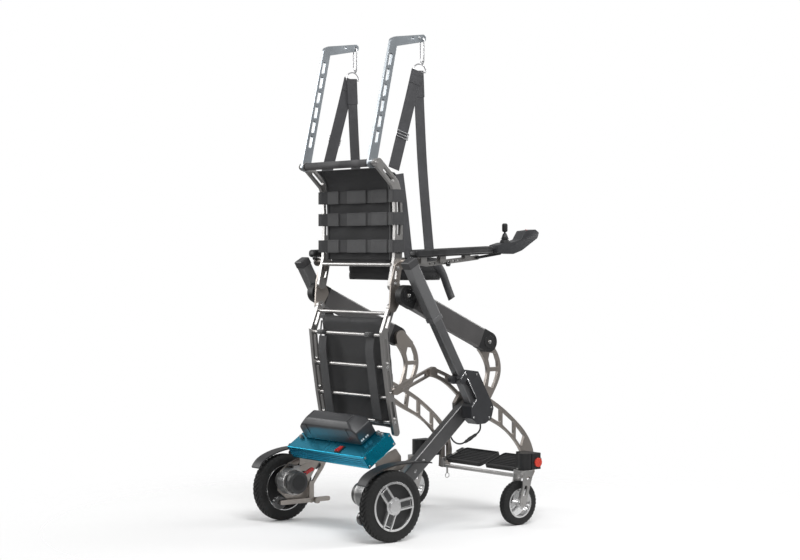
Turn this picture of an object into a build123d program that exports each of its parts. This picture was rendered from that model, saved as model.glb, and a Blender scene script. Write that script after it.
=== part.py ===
from build123d import *
from math import atan2, cos, degrees, hypot, radians, sin
import os

# Sit to stand lift, stored in its raised (standing) position.
#
# Side-view places are (forward, up) in millimetres: forward is counted from the rear axle
# and up from the ground. FOOTPRINT_CENTRE then moves every piece back, so that the part's
# origin lies on the ground under the middle of its footprint. X is the user's right.
# Every mirrored pair is modelled on the right and reflected to the left.

FOOTPRINT_CENTRE = 367.2

# ---- clearances ----
RUNNING = 0.08  # radial clearance of a pin in its bore
SIDE_GAP = 1.0  # gap between plates that turn past each other

# ---- layers across the width, right side, inner face and outer face ----
RAIL_X = (219.0, 235.0)  # seat and backrest rails
HIP_PLATE_X = (235.0, 243.0)
SEAT_LINK_X = (237.0, 249.0)
SIDE_FRAME_X = (250.0, 264.0)
LIFT_BEAM_X = (265.0, 300.0)
LOWER_BEAM_X = (283.0, 319.0)
MOUNT_PLATE_X = (276.0, 283.0)
KNEE_BLOCK_X = (264.0, 283.0)
HOUSING_X = (320.0, 376.0)
FENDER_X = (319.0, 374.0)
ACTUATOR_MIDDLE_X = 343.0
HANGER_X = (207.0, 219.0)

# ---- pivots, side view ----
REAR_AXLE = (0.0, 133.0)
FRONT_PIVOT = (527.0, 720.0)  # lift beam on the crescent post
HIP_PIVOT = (125.0, 907.0)  # backrest on the lift beam
SEAT_PIVOT = (97.0, 859.0)  # seat on the backrest's hip plate
LINK_PIVOT = (277.0, 613.0)  # seat link on the side frame
LINK_SEAT_PIVOT = (108.0, 546.0)  # seat link's pin on the seat rail
ACTUATOR_PIVOT = (415.0, 468.0)  # lower end of the actuator
HANGER_PIVOT = (17.0, 1404.0)
HANGER_TIP_HOLE = (261.0, 1886.0)
ARMREST_PIVOT = (146.0, 1030.0)
SWIVEL_AXIS = (685.0, 332.0)  # forward, across
PIN_RADIUS = 8.0

# ---- rear wheels ----
REAR_TYRE_RADIUS = 133.0
REAR_RIM_RADIUS = 92.0
REAR_WHEEL_X = (324.0, 371.5)
REAR_AXLE_RADIUS = 10.0

# ---- casters ----
CASTER_AXLE = (648.0, 87.0)
CASTER_RADIUS = 87.0
CASTER_RIM_RADIUS = 58.0
CASTER_TYRE_X = (315.0, 349.0)
CASTER_AXLE_RADIUS = 6.0
STEM_RADIUS = 10.0

# ---- lower beams and lift beams ----
LOWER_BEAM_REAR = (106.0, 221.0)
LOWER_BEAM_FRONT = (419.4, 488.4)
LOWER_BEAM_DEPTH = 58.0
LIFT_BEAM_DEPTH = 78.0
BEAM_WALL = 3.0
BEAM_CAP_LENGTH = 42.0

# ---- actuator, distances along its axis up from the lower pivot ----
ACTUATOR_TILT = 29.8  # degrees back from upright
TRUNNION_DISTANCE = 478.9
INNER_TUBE_SPAN = (30.0, 425.0)
OUTER_TUBE_SPAN = (398.0, 659.0)
COLLAR_LENGTH = 16.0
END_CAP_LENGTH = 29.0
INNER_TUBE_SIZE = 38.0
OUTER_TUBE_SIZE = 44.0
TUBE_CLEARANCE = 0.4

# ---- control box and battery, on a slope that rises forward ----
BOX_SLOPE = 33.8
BOX_REAR_TOP = (-50.0, 306.0)
BOX_LENGTH = 152.8
BOX_DEPTH = 55.0
BOX_HALF_WIDTH = 240.0
BOX_END_PLATE = 5.0
BATTERY_SLOPE_SPAN = (62.0, 148.0)
BATTERY_HEIGHT = 90.0
BATTERY_X = (-194.0, 170.0)
BATTERY_CHAMFER = 22.0

# ---- footplates ----
FOOTPLATE_SLOPE = 19.0
FOOTPLATE_HINGE = (750.0, 199.0)
FOOTPLATE_HINGE_X = 238.0
FOOTPLATE_INNER_X = 15.0
FOOTPLATE_LENGTH = 120.0
FOOTPLATE_THICKNESS = 12.0

# ---- chassis, further sizes ----
ANTI_TIP_WHEEL = (-68.0, 85.0)
ANTI_TIP_RADIUS = 28.0
ANTI_TIP_BAR_X = (250.0, 260.0)
ANTI_TIP_WHEEL_X = (263.0, 285.0)
ANTI_TIP_PIN_RADIUS = 5.0
ARCH_UPPER = [
    (281, 629), (363, 595), (465, 546), (567, 495), (623, 461), (694, 407), (756, 346), (792, 277),
]
ARCH_LOWER = [
    (268, 594), (336, 566), (425, 494), (553, 415), (623, 380), (694, 322), (728, 276), (742, 240),
]
CRESCENT_OUTER = [(590, 690), (615, 640), (617, 594), (599, 548), (562, 490)]
CRESCENT_INNER = [(503, 690), (539, 640), (549, 601), (541, 566), (522, 510)]
RAIL_WIDTH = 14.0
HINGE_ROD_RADIUS = 5.0
HINGE_SLEEVE_RADIUS = 9.0
STRUT_X = 272.0
STRUT_LOW = (164.0, 284.0)
STRUT_HIGH = (392.0, 452.0)
MOTOR_AXIS = (-26.0, 166.0)
CLUTCH_PIVOT = (22.0, 196.0)
CLUTCH_X = (222.0, 231.0)
CLUTCH_STUB_RADIUS = 3.5
FENDER_OUTER = [(-132, 221), (-112, 247), (-70, 270), (-14, 285), (44, 291), (100, 291), (178, 285)]
FENDER_THICKNESS = 5.0
ROCKER_X = 72.0
ROCKER_HALF_WIDTH = 11.0
ROCKER_SLOPE_SPAN = (11.0, 41.0)
ROCKER_SLOPE_PLACE = 26.0
KEY_PLUG_RADIUS = 6.0

# ---- actuators, further sizes ----
CABLE_X = 344.0
CABLE_RADIUS = 3.2
CABLE_ROUTE = [
    (CABLE_X, 441, 412.6), (CABLE_X, 444, 398), (CABLE_X, 438, 382), (CABLE_X - 2, 424, 371),
]
CABLE_ROUTE_REAR = [
    (CABLE_X - 8, 371, 343), (CABLE_X - 12, 354, 337), (CABLE_X - 20, 338, 340),
    (CABLE_X - 33, 329, 352), (CABLE_X - 38, 325, 366),
]

# ---- backrest, further sizes ----
BACK_LINE = [(35, 1404), (112, 1330), (126, 1290), (131, 1170), (127, 1047), (104, 942)]
BACK_RAIL_WIDTH = 36.0
BACK_BAND_HEIGHTS = (1282.0, 1196.0, 1092.0)
BAND_WIDTH = 48.0
BAND_THICKNESS = 3.0
BAND_RETURN = 20.0
BAND_LOOP = (97.0, 153.0)  # rear and front of the loops round the rails
BACK_TUBE_PLACE = (106.0, 1022.0)
BACK_TUBE_RADIUS = 7.5

# ---- hanger arms, further sizes ----
HANGER_LINE = [(17, 1404), (118, 1874)]
SPARE_HOLE = (210.0, 1882.0)
SPARE_HOLE_RADIUS = 6.0
HANDLE_RADIUS = 13.0

# ---- harness, further sizes ----
STRAP_X = 213.0
CLIP_TOP = 1889.0
RING_TOP = 1791.0
D_RING_HALF_WIDTH = 33.0
D_RING_HEIGHT = 31.0
D_RING_WIRE = 2.4
REAR_STRAP_TOP = (234.0, 1754.0)
REAR_STRAP_END = (121.0, 1384.0)
FRONT_STRAP_TOP = (240.0, 1754.0)
FRONT_STRAP_KNEE = (262.0, 1380.0)
FRONT_STRAP_END = (300.0, 1048.0)
BELT_LOW = 963.0
BELT_HIGH = 1046.0
BELT_MIDDLE = 292.0

# ---- seat, further sizes ----
SEAT_LINE = [(97, 859), (62, 766), (76, 636), (94, 519), (112, 425), (120, 388)]
SEAT_RAIL_WIDTH = 28.0
SEAT_BAR_PLACES = [(88, 838), (60, 756), (74, 636), (92, 519), (110, 425)]
SEAT_BAR_RADIUS = 6.5

# ---- armrests, further sizes ----
ARMREST_BRACKET_X = (308.0, 316.0)
PAD_X = (303.0, 345.0)
PAD_REAR = 124.0
PAD_FRONT = 512.0
PAD_UNDERSIDE = (1048.0, 1063.0)
PAD_THICKNESS = 30.0
CONTROLLER_X = (306.0, 358.0)
JOYSTICK_PIVOT = (578.0, 1104.0)
JOYSTICK_X = 332.0
BOOT_RADIUS = 20.0
STEM_SLOT = (10.0, 24.0)  # width and travel of the stick's slot in the boot


# ---------------------------------------------------------------- helpers

def distance(start, end):
    return hypot(end[0] - start[0], end[1] - start[1])


def slope_of(start, end):
    return degrees(atan2(end[1] - start[1], end[0] - start[0]))


def middle_of(start, end):
    return ((start[0] + end[0]) / 2, (start[1] + end[1]) / 2)


def along(start, angle, forward, up=0.0):
    """The place reached from start by going forward and up in axes turned by angle."""
    turn = radians(angle)
    return (
        start[0] + forward * cos(turn) - up * sin(turn),
        start[1] + forward * sin(turn) + up * cos(turn),
    )


def between(start, end, share):
    return (
        start[0] + (end[0] - start[0]) * share,
        start[1] + (end[1] - start[1]) * share,
    )


def polygon(*places):
    return make_face(Polyline(*places, close=True))


def disc(place, radius):
    return Pos(*place) * Circle(radius)


def capsule(start, end, width):
    """A round-ended bar between two places."""
    slot = SlotCenterToCenter(distance(start, end), width)
    return Pos(*middle_of(start, end)) * Rot(Z=slope_of(start, end)) * slot


def chain(places, width):
    """Round-ended bars joined through a list of places."""
    shape = capsule(places[0], places[1], width)
    for start, end in zip(places[1:-1], places[2:]):
        shape += capsule(start, end, width)
    return shape


def strip(start, end, width):
    """A square-ended bar between two places."""
    rectangle = Rectangle(distance(start, end), width)
    return Pos(*middle_of(start, end)) * Rot(Z=slope_of(start, end)) * rectangle


def plate(profile, span):
    """A side-view profile made solid between two places across the width."""
    return extrude(Plane.YZ.offset(span[0]) * profile, span[1] - span[0])


def pin(place, radius, span):
    return plate(disc(place, radius), span)


def ring(place, outer, inner, span):
    return plate(disc(place, outer) - disc(place, inner), span)


def edges_along(solid, start, end):
    """The solid's edges that run in the side-view direction from start to end."""
    return solid.edges().filter_by(Axis((0, 0, 0), (0, end[0] - start[0], end[1] - start[1])))


def other_side(solid):
    return mirror(solid, about=Plane.YZ)


def pair(*solids):
    """Each solid and its reflection on the left side."""
    both = []
    for solid in solids:
        both.append(solid)
        both.append(other_side(solid))
    return both


def rounded(profile, radius):
    return fillet(profile.vertices(), radius)


# ---------------------------------------------------------------- chassis

def lower_beam():
    outer = strip(LOWER_BEAM_REAR, LOWER_BEAM_FRONT, LOWER_BEAM_DEPTH)
    solid = plate(outer, LOWER_BEAM_X)
    solid = fillet(edges_along(solid, LOWER_BEAM_REAR, LOWER_BEAM_FRONT), 5)
    cavity_front = between(LOWER_BEAM_REAR, LOWER_BEAM_FRONT, 0.96)
    cavity_rear = between(LOWER_BEAM_REAR, LOWER_BEAM_FRONT, -0.02)
    cavity = strip(cavity_rear, cavity_front, LOWER_BEAM_DEPTH - 2 * BEAM_WALL)
    cavity_x = (LOWER_BEAM_X[0] + BEAM_WALL, LOWER_BEAM_X[1] - BEAM_WALL)
    solid -= plate(cavity, cavity_x)
    pivot_pin = pin(ACTUATOR_PIVOT, PIN_RADIUS, (LOWER_BEAM_X[1], HOUSING_X[0] + 10))
    pivot_boss = pin(ACTUATOR_PIVOT, 14, (LOWER_BEAM_X[0], LOWER_BEAM_X[1]))
    return solid + pivot_boss + pivot_pin


def knee_block():
    outline = polygon((372, 436), (432, 440), (462, 480), (442, 512), (400, 536), (368, 490))
    return plate(rounded(outline, 8), KNEE_BLOCK_X)


def mount_plate():
    outline = polygon(
        (-72, 130), (-62, 205), (-20, 236), (60, 262), (150, 292), (196, 292),
        (150, 205), (92, 132), (84, 96), (20, 84), (-28, 92),
    )
    windows = capsule((30, 225), (110, 252), 16) + capsule((88, 160), (128, 218), 16)
    return plate(rounded(outline, 8) - windows, MOUNT_PLATE_X)


def box_bracket():
    """A folded strip that carries the control box's end from the mount plate."""
    outline = polygon((10, 226), (130, 252), (128, 300), (104, 330), (70, 318), (10, 284))
    inner_x = BOX_HALF_WIDTH + BOX_END_PLATE
    upright = plate(rounded(outline, 6), (inner_x, inner_x + 5))
    foot = plate(strip((40, 240), (115, 258), 8), (inner_x + 5, MOUNT_PLATE_X[0]))
    return upright + foot


def strut_clevis():
    return plate(capsule((158, 279), (170, 288), 20), (LOWER_BEAM_X[0] - 22, MOUNT_PLATE_X[0]))


def anti_tip_arm():
    """Bar that reaches back under the motor, held off the mount plate by a spacer."""
    bar = plate(capsule(ANTI_TIP_WHEEL, (154, 84), 18), ANTI_TIP_BAR_X)
    upright = plate(capsule((72, 84), (72, 150), 22), ANTI_TIP_BAR_X)
    spacer = pin((72, 142), 9, (ANTI_TIP_BAR_X[1], MOUNT_PLATE_X[0]))
    wheel_pin = pin(ANTI_TIP_WHEEL, ANTI_TIP_PIN_RADIUS,
                    (ANTI_TIP_BAR_X[1], ANTI_TIP_WHEEL_X[1] + 3))
    return bar + upright + spacer + wheel_pin


def anti_tip_knob():
    return pin((92, 82), 12, (ANTI_TIP_BAR_X[0] - 14, ANTI_TIP_BAR_X[0]))


def anti_tip_wheel():
    wheel = fillet(pin(ANTI_TIP_WHEEL, ANTI_TIP_RADIUS, ANTI_TIP_WHEEL_X).edges(), 6)
    return wheel - pin(ANTI_TIP_WHEEL, ANTI_TIP_PIN_RADIUS + RUNNING, (200, 300))


def frame_brackets():
    return pair(knee_block(), mount_plate(), box_bracket(), strut_clevis(),
                anti_tip_arm(), anti_tip_knob())


def rail_window(upper_rear, upper_front, lower_front, lower_rear, corner=5.0):
    """A hole that leaves a rail's width above and below it and half a web at each end."""
    web = RAIL_WIDTH / 2
    upper_rear, upper_front = inset(upper_rear, upper_front, web)
    lower_rear, lower_front = inset(lower_rear, lower_front, web)
    corners = [
        inset(upper_rear, lower_rear, RAIL_WIDTH)[0],
        inset(upper_front, lower_front, RAIL_WIDTH)[0],
        inset(upper_front, lower_front, RAIL_WIDTH)[1],
        inset(upper_rear, lower_rear, RAIL_WIDTH)[1],
    ]
    return rounded(polygon(*corners), corner)


def inset(start, end, amount):
    share = amount / distance(start, end)
    return between(start, end, share), between(start, end, 1 - share)


def side_frame():
    upper = Spline(*ARCH_UPPER)
    lower = Spline(*reversed(ARCH_LOWER))
    foot = Polyline(ARCH_UPPER[-1], (800, 240), (800, 190), (786, 168), (738, 168), ARCH_LOWER[-1])
    rear = Line(ARCH_LOWER[0], ARCH_UPPER[0])
    arch = make_face([upper, foot, lower, rear])
    arch += disc(LINK_PIVOT, 19)
    crescent_outer = Spline(*CRESCENT_OUTER)
    crescent_inner = Spline(*reversed(CRESCENT_INNER))
    crescent = make_face([
        crescent_outer,
        Line(CRESCENT_OUTER[-1], CRESCENT_INNER[-1]),
        crescent_inner,
        Line(CRESCENT_INNER[0], CRESCENT_OUTER[0]),
    ])
    head = make_hull((disc(FRONT_PIVOT, 26).edges()
                      + capsule((515, 692), (582, 692), 16).edges()))
    profile = arch + crescent + head
    for number in range(1, 6):
        profile -= rail_window(ARCH_UPPER[number], ARCH_UPPER[number + 1],
                               ARCH_LOWER[number + 1], ARCH_LOWER[number])
    profile -= capsule((300, 604), (338, 588), 10)
    profile -= polygon((560, 676), (588, 672), (601, 640), (603, 618), (562, 618), (553, 650))
    profile -= polygon((562, 602), (603, 602), (601, 588), (590, 560), (577, 536), (552, 546))
    profile -= capsule((770, 205), (770, 262), 16)
    solid = plate(profile, SIDE_FRAME_X)
    front_pin = pin(FRONT_PIVOT, PIN_RADIUS, (SIDE_FRAME_X[1], LIFT_BEAM_X[1] + 3))
    link_pin = pin(LINK_PIVOT, PIN_RADIUS, (SEAT_LINK_X[0] - 2, SIDE_FRAME_X[0]))
    return solid + front_pin + link_pin


def caster_head():
    forward, across = SWIVEL_AXIS
    box = Pos((SIDE_FRAME_X[1] + 358) / 2, 722, 247) * Box(358 - SIDE_FRAME_X[1], 46, 64)
    barrel = Pos(across, forward, 247) * Cylinder(27, 64)
    web = Pos(across - 14, 697, 247) * Box(40, 20, 64)
    solid = box + barrel + web
    solid -= Pos(across, forward, 247 - 8) * Cylinder(STEM_RADIUS + RUNNING, 64)
    knob = Pos(322, 745 + 9, 240) * Rot(X=90) * Cylinder(9, 18)
    return [solid, knob]


def caster_heads():
    return pair(*caster_head())


def side_reflectors():
    return pair(pin((730, 242), 18, (358, 363)))


def footplate_axis_rod(start, length, radius):
    """A rod along the right footplate's hinge, from start for a length."""
    place = along(FOOTPLATE_HINGE, FOOTPLATE_SLOPE, start)
    tilt = radians(FOOTPLATE_SLOPE)
    axis = Plane(origin=(FOOTPLATE_HINGE_X, place[0], place[1]),
                 z_dir=(0, cos(tilt), sin(tilt)), x_dir=(1, 0, 0))
    return extrude(axis * Circle(radius), length)


def footrest_frame():
    """A square crossbar between the side frames, with a hinge post at each end."""
    crossbar = Pos(0, 744, 174) * Box(2 * SIDE_FRAME_X[0], 14, 14)
    solid = fillet(crossbar.edges().filter_by(Axis.X), 3)
    post = Pos(FOOTPLATE_HINGE_X, 740, 187) * Box(18, 14, 40)
    rod = footplate_axis_rod(-8, 122, HINGE_ROD_RADIUS)
    solid += post + rod + other_side(post) + other_side(rod)
    pull_pin = Pos(-214, 744, 155) * Cylinder(4, 26)
    pull_ring = Pos(-214, 744, 134) * Rot(Y=90) * Torus(10, 1.6)
    return [solid, pull_pin, pull_ring]


def footplate():
    """Right footplate: a shallow tray with raised edges on two hinge knuckles."""
    length_middle = FOOTPLATE_LENGTH / 2
    width = FOOTPLATE_HINGE_X - HINGE_SLEEVE_RADIUS - FOOTPLATE_INNER_X
    across_middle = FOOTPLATE_INNER_X + width / 2
    tray = Pos(across_middle, length_middle, -FOOTPLATE_THICKNESS / 2 + 2) * Box(
        width, FOOTPLATE_LENGTH, FOOTPLATE_THICKNESS + 4)
    tray = fillet(tray.edges().filter_by(Axis.Z), 12)
    rim = 5.0
    recess = Pos(across_middle, length_middle, 2) * Box(
        width - 2 * rim, FOOTPLATE_LENGTH - 2 * rim, 5)
    tray -= fillet(recess.edges().filter_by(Axis.Z), 8)
    solid = tray
    for start in (8.0, 74.0):
        sleeve_middle = start + 16.0
        sleeve = Pos(FOOTPLATE_HINGE_X, sleeve_middle, 0) * Rot(X=90) * Cylinder(
            HINGE_SLEEVE_RADIUS, 32)
        tongue = Pos(FOOTPLATE_HINGE_X - 12, sleeve_middle, -4) * Box(14, 32, 8)
        solid += sleeve + tongue
        solid -= Pos(FOOTPLATE_HINGE_X, sleeve_middle, 0) * Rot(X=90) * Cylinder(
            HINGE_ROD_RADIUS + RUNNING, 34)
    placed = Pos(0, *FOOTPLATE_HINGE) * Rot(X=FOOTPLATE_SLOPE) * solid
    return placed


def strut_line_place(share):
    place = between(STRUT_LOW, STRUT_HIGH, share)
    return (STRUT_X, place[0], place[1])


def strut_rod():
    slope = radians(slope_of(STRUT_LOW, STRUT_HIGH))
    axis = Plane(origin=strut_line_place(0.05), z_dir=(0, cos(slope), sin(slope)), x_dir=(1, 0, 0))
    return extrude(axis * Circle(6), distance(STRUT_LOW, STRUT_HIGH) * 0.93)


def strut_shroud():
    """A faceted sleeve round the middle of the strut."""
    slope = radians(slope_of(STRUT_LOW, STRUT_HIGH))
    axis = Plane(origin=strut_line_place(0.16), z_dir=(0, cos(slope), sin(slope)), x_dir=(1, 0, 0))
    sleeve = extrude(axis * RegularPolygon(20 / cos(radians(22.5)) * 0.5, 8), 112)
    return sleeve - extrude(axis * Circle(6.2), 112)


def drive_motor():
    """Geared hub drive: motor drum and end cap inboard, gear case and shaft outboard."""
    drum = pin(MOTOR_AXIS, 52, (232, MOUNT_PLATE_X[0]))
    for number in range(6):
        drum -= ring(MOTOR_AXIS, 54, 48.5, (237 + 6 * number, 240 + 6 * number))
    cap = fillet(pin(MOTOR_AXIS, 45, (198, 232)).faces().sort_by(Axis.X)[0].edges(), 6)
    case = make_hull(disc(MOTOR_AXIS, 36).edges() + disc(REAR_AXLE, 36).edges())
    gear_case = plate(case, (MOUNT_PLATE_X[1], 312))
    shaft = pin(REAR_AXLE, REAR_AXLE_RADIUS, (312, REAR_WHEEL_X[1] - 4))
    lug = plate(capsule(MOTOR_AXIS, CLUTCH_PIVOT, 20), (CLUTCH_X[1] + 1, CLUTCH_X[1] + 6))
    stub = pin(CLUTCH_PIVOT, CLUTCH_STUB_RADIUS, (CLUTCH_X[0] - 2, CLUTCH_X[1] + 1))
    terminal_box = Pos(258, MOTOR_AXIS[0] + 20, MOTOR_AXIS[1] + 52) * Box(30, 30, 18)
    return [drum + lug + stub + terminal_box, cap, gear_case + shaft]


def drive_motors():
    return pair(*drive_motor())


def clutch_lever():
    """Lever that turns on the motor's stub to free the wheel."""
    blade = plate(capsule(CLUTCH_PIVOT, (56, 211), 13), CLUTCH_X)
    return blade - pin(CLUTCH_PIVOT, CLUTCH_STUB_RADIUS + RUNNING, (200, 300))


def fender():
    """Curved guard over the rear tyre, bolted to the lower beam's side."""
    inner_line = [(place[0] + 2, place[1] - FENDER_THICKNESS) for place in reversed(FENDER_OUTER)]
    profile = make_face([
        Spline(*FENDER_OUTER), Line(FENDER_OUTER[-1], inner_line[0]),
        Spline(*inner_line), Line(inner_line[-1], FENDER_OUTER[0])])
    return plate(profile, FENDER_X)


def box_place(along_slope, above=0.0):
    return along(BOX_REAR_TOP, BOX_SLOPE, along_slope, above)


def box_profile(start, end, low, high):
    return polygon(box_place(start, low), box_place(end, low), box_place(end, high),
                   box_place(start, high))


def control_box():
    """Grooved extrusion with an end plate on each side."""
    wall = 3.0
    profile = rounded(box_profile(0, BOX_LENGTH, -BOX_DEPTH, 0), 3)
    for number in range(4):
        low = -12 - 10 * number
        profile -= box_profile(-1, 1.2, low - 3, low)
    profile -= rounded(box_profile(wall + 1, BOX_LENGTH - wall, wall - BOX_DEPTH, -wall), 2)
    body = plate(profile, (-BOX_HALF_WIDTH, BOX_HALF_WIDTH))
    body -= rocker_opening()
    end = rounded(box_profile(0, BOX_LENGTH, -BOX_DEPTH, 0), 3)
    end_plate = plate(end, (BOX_HALF_WIDTH, BOX_HALF_WIDTH + BOX_END_PLATE))
    left_plate = other_side(end_plate) - pin(KEY_PLACE, 9, (-260, -200))
    return [body, end_plate, left_plate]


KEY_PLACE = box_place(34.0, -26.0)


def control_board():
    """Motor driver board on a heat spreader, held inside the extrusion."""
    board = plate(box_profile(12, 146, -46, -44.4), (-225, 225))
    spreader = plate(box_profile(60, 140, -52, -46), (-200, 60))
    solids = [board + spreader]
    for number in range(3):
        solids.append(pin(box_place(60 + 26 * number, -32), 9, (90, 130)))
    return solids


def rocker_opening():
    half_width = ROCKER_HALF_WIDTH + 0.5
    start, end = ROCKER_SLOPE_SPAN
    return plate(box_profile(start - 1.5, end + 1.5, -12, 5),
                 (ROCKER_X - half_width, ROCKER_X + half_width))


def rocker_bezel():
    start, end = ROCKER_SLOPE_SPAN
    frame = box_profile(start - 4, end + 4, 0, 3)
    solid = plate(frame, (ROCKER_X - ROCKER_HALF_WIDTH - 4, ROCKER_X + ROCKER_HALF_WIDTH + 7))
    return solid - rocker_opening()


def key_lock():
    """Barrel of the key switch, flanged against the box's left end."""
    barrel = pin(KEY_PLACE, 9, (-245, -215)) + pin(KEY_PLACE, 13, (-249, -245))
    return barrel - pin(KEY_PLACE, KEY_PLUG_RADIUS + RUNNING, (-260, -200))


def switch_bezels():
    return [rocker_bezel(), key_lock()]


def power_rocker():
    """See-saw cap, turning about its middle."""
    start, end = ROCKER_SLOPE_SPAN
    middle = ROCKER_SLOPE_PLACE
    outline = [box_place(start, 1), box_place(start, 9), box_place(middle, 5.5),
               box_place(end, 4.5), box_place(end, 1), box_place(middle, -7)]
    cap = plate(polygon(*outline), (ROCKER_X - ROCKER_HALF_WIDTH, ROCKER_X + ROCKER_HALF_WIDTH))
    stub_reach = ROCKER_HALF_WIDTH + 0.4
    return cap + pin(box_place(middle, 0.5), 2, (ROCKER_X - stub_reach, ROCKER_X + stub_reach))


def ignition_key():
    """Key with its turning plug."""
    plug = pin(KEY_PLACE, KEY_PLUG_RADIUS, (-250, -220))
    blade = Pos(-258, *KEY_PLACE) * Box(18, 8, 2.4)
    bow = Pos(-276, *KEY_PLACE) * Box(22, 22, 5)
    bow = fillet(bow.edges().filter_by(Axis.Z), 6)
    bow -= Pos(-280, *KEY_PLACE) * Cylinder(3, 10)
    return plug + blade + bow


def battery():
    """Battery pack standing on the box, its upper corners cut back at both ends."""
    start, end = BATTERY_SLOPE_SPAN
    profile = polygon(
        box_place(start, 0), box_place(end, 0), box_place(end + 2, BATTERY_HEIGHT - BATTERY_CHAMFER),
        box_place(end - 16, BATTERY_HEIGHT), box_place(start + BATTERY_CHAMFER, BATTERY_HEIGHT),
        box_place(start + 2, BATTERY_HEIGHT - BATTERY_CHAMFER),
    )
    solid = plate(profile, BATTERY_X)
    middle = box_place((start + end) / 2, BATTERY_HEIGHT + 4)
    for across, lean in ((BATTERY_X[1], 38), (BATTERY_X[0], -38)):
        solid -= Pos(across, *middle) * Rot(X=BOX_SLOPE) * Rot(Y=lean) * Box(170, 200, 62)
    return solid


# ---------------------------------------------------------------- wheels

def rear_tyre():
    section = Rectangle(REAR_WHEEL_X[1] - REAR_WHEEL_X[0], REAR_TYRE_RADIUS - REAR_RIM_RADIUS)
    section = Pos(0, (REAR_TYRE_RADIUS + REAR_RIM_RADIUS) / 2) * section
    section = fillet(section.vertices().sort_by(Axis.Y)[-2:], 20)
    tyre = revolve(section, Axis.X, 360)
    return Pos((REAR_WHEEL_X[0] + REAR_WHEEL_X[1]) / 2, *REAR_AXLE) * tyre


def spoke(angle, offset, inner, outer, width):
    """One of a parallel pair of spokes, set off sideways from the wheel's centre."""
    start = along((0, 0), angle, inner, offset)
    end = along((0, 0), angle, outer, offset)
    return strip(start, end, width)


def rear_rim():
    x_inner, x_outer = REAR_WHEEL_X
    face = Circle(REAR_RIM_RADIUS) - Circle(REAR_RIM_RADIUS - 8)
    face += Circle(34)
    for number in range(3):
        angle = 7 + 120 * number
        for offset in (-17, 17):
            face += spoke(angle, offset, 24, REAR_RIM_RADIUS - 4, 8)
        face += spoke(angle, 0, 24, REAR_RIM_RADIUS - 14, 24)
    barrel = Circle(REAR_RIM_RADIUS) - Circle(REAR_RIM_RADIUS - 4)
    hub = Circle(27)
    solid = extrude(Plane.YZ.offset(x_outer - 12) * face, 12)
    solid += extrude(Plane.YZ.offset(x_inner + 2) * barrel, x_outer - x_inner - 2)
    solid += extrude(Plane.YZ.offset(x_inner + 2) * hub, x_outer - x_inner - 2)
    solid += extrude(Plane.YZ.offset(x_outer) * Circle(24), 4)
    solid -= extrude(Plane.YZ.offset(x_inner - 10) * Circle(REAR_AXLE_RADIUS + RUNNING),
                     x_outer - x_inner + 8)
    return Pos(0, *REAR_AXLE) * solid


def caster_fork():
    forward, across = SWIVEL_AXIS
    crown = Pos(332, 676, 206) * Box(64, 62, 16)
    crown = fillet(crown.edges().filter_by(Axis.Z), 14)
    stem = Pos(across, forward, 238) * Cylinder(STEM_RADIUS, 62)
    tine_profile = make_hull(disc(CASTER_AXLE, 15).edges()
                             + capsule((662, 204), (692, 204), 16).edges())
    tine_profile -= capsule((654, 122), (662, 150), 14)
    tine_profile -= disc((674, 185), 8)
    tine_profile &= polygon((600, 60), (740, 60), (740, 214), (600, 214))
    tines = plate(tine_profile, (300, 306)) + plate(tine_profile, (358, 364))
    axle = pin(CASTER_AXLE, CASTER_AXLE_RADIUS, (297, 367))
    return crown + stem + tines + axle


def caster_tyre():
    width = CASTER_TYRE_X[1] - CASTER_TYRE_X[0]
    section = Pos(0, (CASTER_RADIUS + CASTER_RIM_RADIUS) / 2) * Rectangle(
        width, CASTER_RADIUS - CASTER_RIM_RADIUS)
    section = fillet(section.vertices().sort_by(Axis.Y)[-2:], 11)
    tyre = revolve(section, Axis.X, 360)
    return Pos((CASTER_TYRE_X[0] + CASTER_TYRE_X[1]) / 2, *CASTER_AXLE) * tyre


def caster_rim():
    x_inner, x_outer = CASTER_TYRE_X
    face = Circle(CASTER_RIM_RADIUS) - Circle(CASTER_RIM_RADIUS - 6) + Circle(17)
    for number in range(3):
        for offset in (-8, 8):
            face += spoke(90 + 120 * number, offset, 10, CASTER_RIM_RADIUS - 3, 5)
    solid = extrude(Plane.YZ.offset(x_inner + 2) * face, x_outer - x_inner - 4)
    hub = extrude(Plane.YZ.offset(x_inner - 6) * Circle(12), x_outer - x_inner + 12)
    solid += hub
    solid -= extrude(Plane.YZ.offset(x_inner - 10) * Circle(CASTER_AXLE_RADIUS + RUNNING),
                     x_outer - x_inner + 20)
    return Pos(0, *CASTER_AXLE) * solid


# ---------------------------------------------------------------- lift

def actuator_place(along_axis, across=0.0):
    return along(ACTUATOR_PIVOT, 90 + ACTUATOR_TILT, along_axis, across)


TRUNNION = actuator_place(TRUNNION_DISTANCE)


def lift_beam():
    start, end = inset(FRONT_PIVOT, HIP_PIVOT, BEAM_CAP_LENGTH)
    box = plate(strip(start, end, LIFT_BEAM_DEPTH), LIFT_BEAM_X)
    box = fillet(edges_along(box, start, end), 6)
    cavity_x = (LIFT_BEAM_X[0] + BEAM_WALL, LIFT_BEAM_X[1] - BEAM_WALL)
    box -= plate(strip(start, end, LIFT_BEAM_DEPTH - 2 * BEAM_WALL), cavity_x)
    trunnion_boss = pin(TRUNNION, 14, (LIFT_BEAM_X[1] - BEAM_WALL, 319.5))
    return box + trunnion_boss


def beam_cap(pivot, other):
    start = pivot
    end = inset(pivot, other, BEAM_CAP_LENGTH)[0]
    profile = strip(start, end, LIFT_BEAM_DEPTH) + disc(pivot, LIFT_BEAM_DEPTH / 2)
    solid = plate(profile, LIFT_BEAM_X)
    return solid - pin(pivot, PIN_RADIUS + RUNNING, (200, 400))


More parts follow.
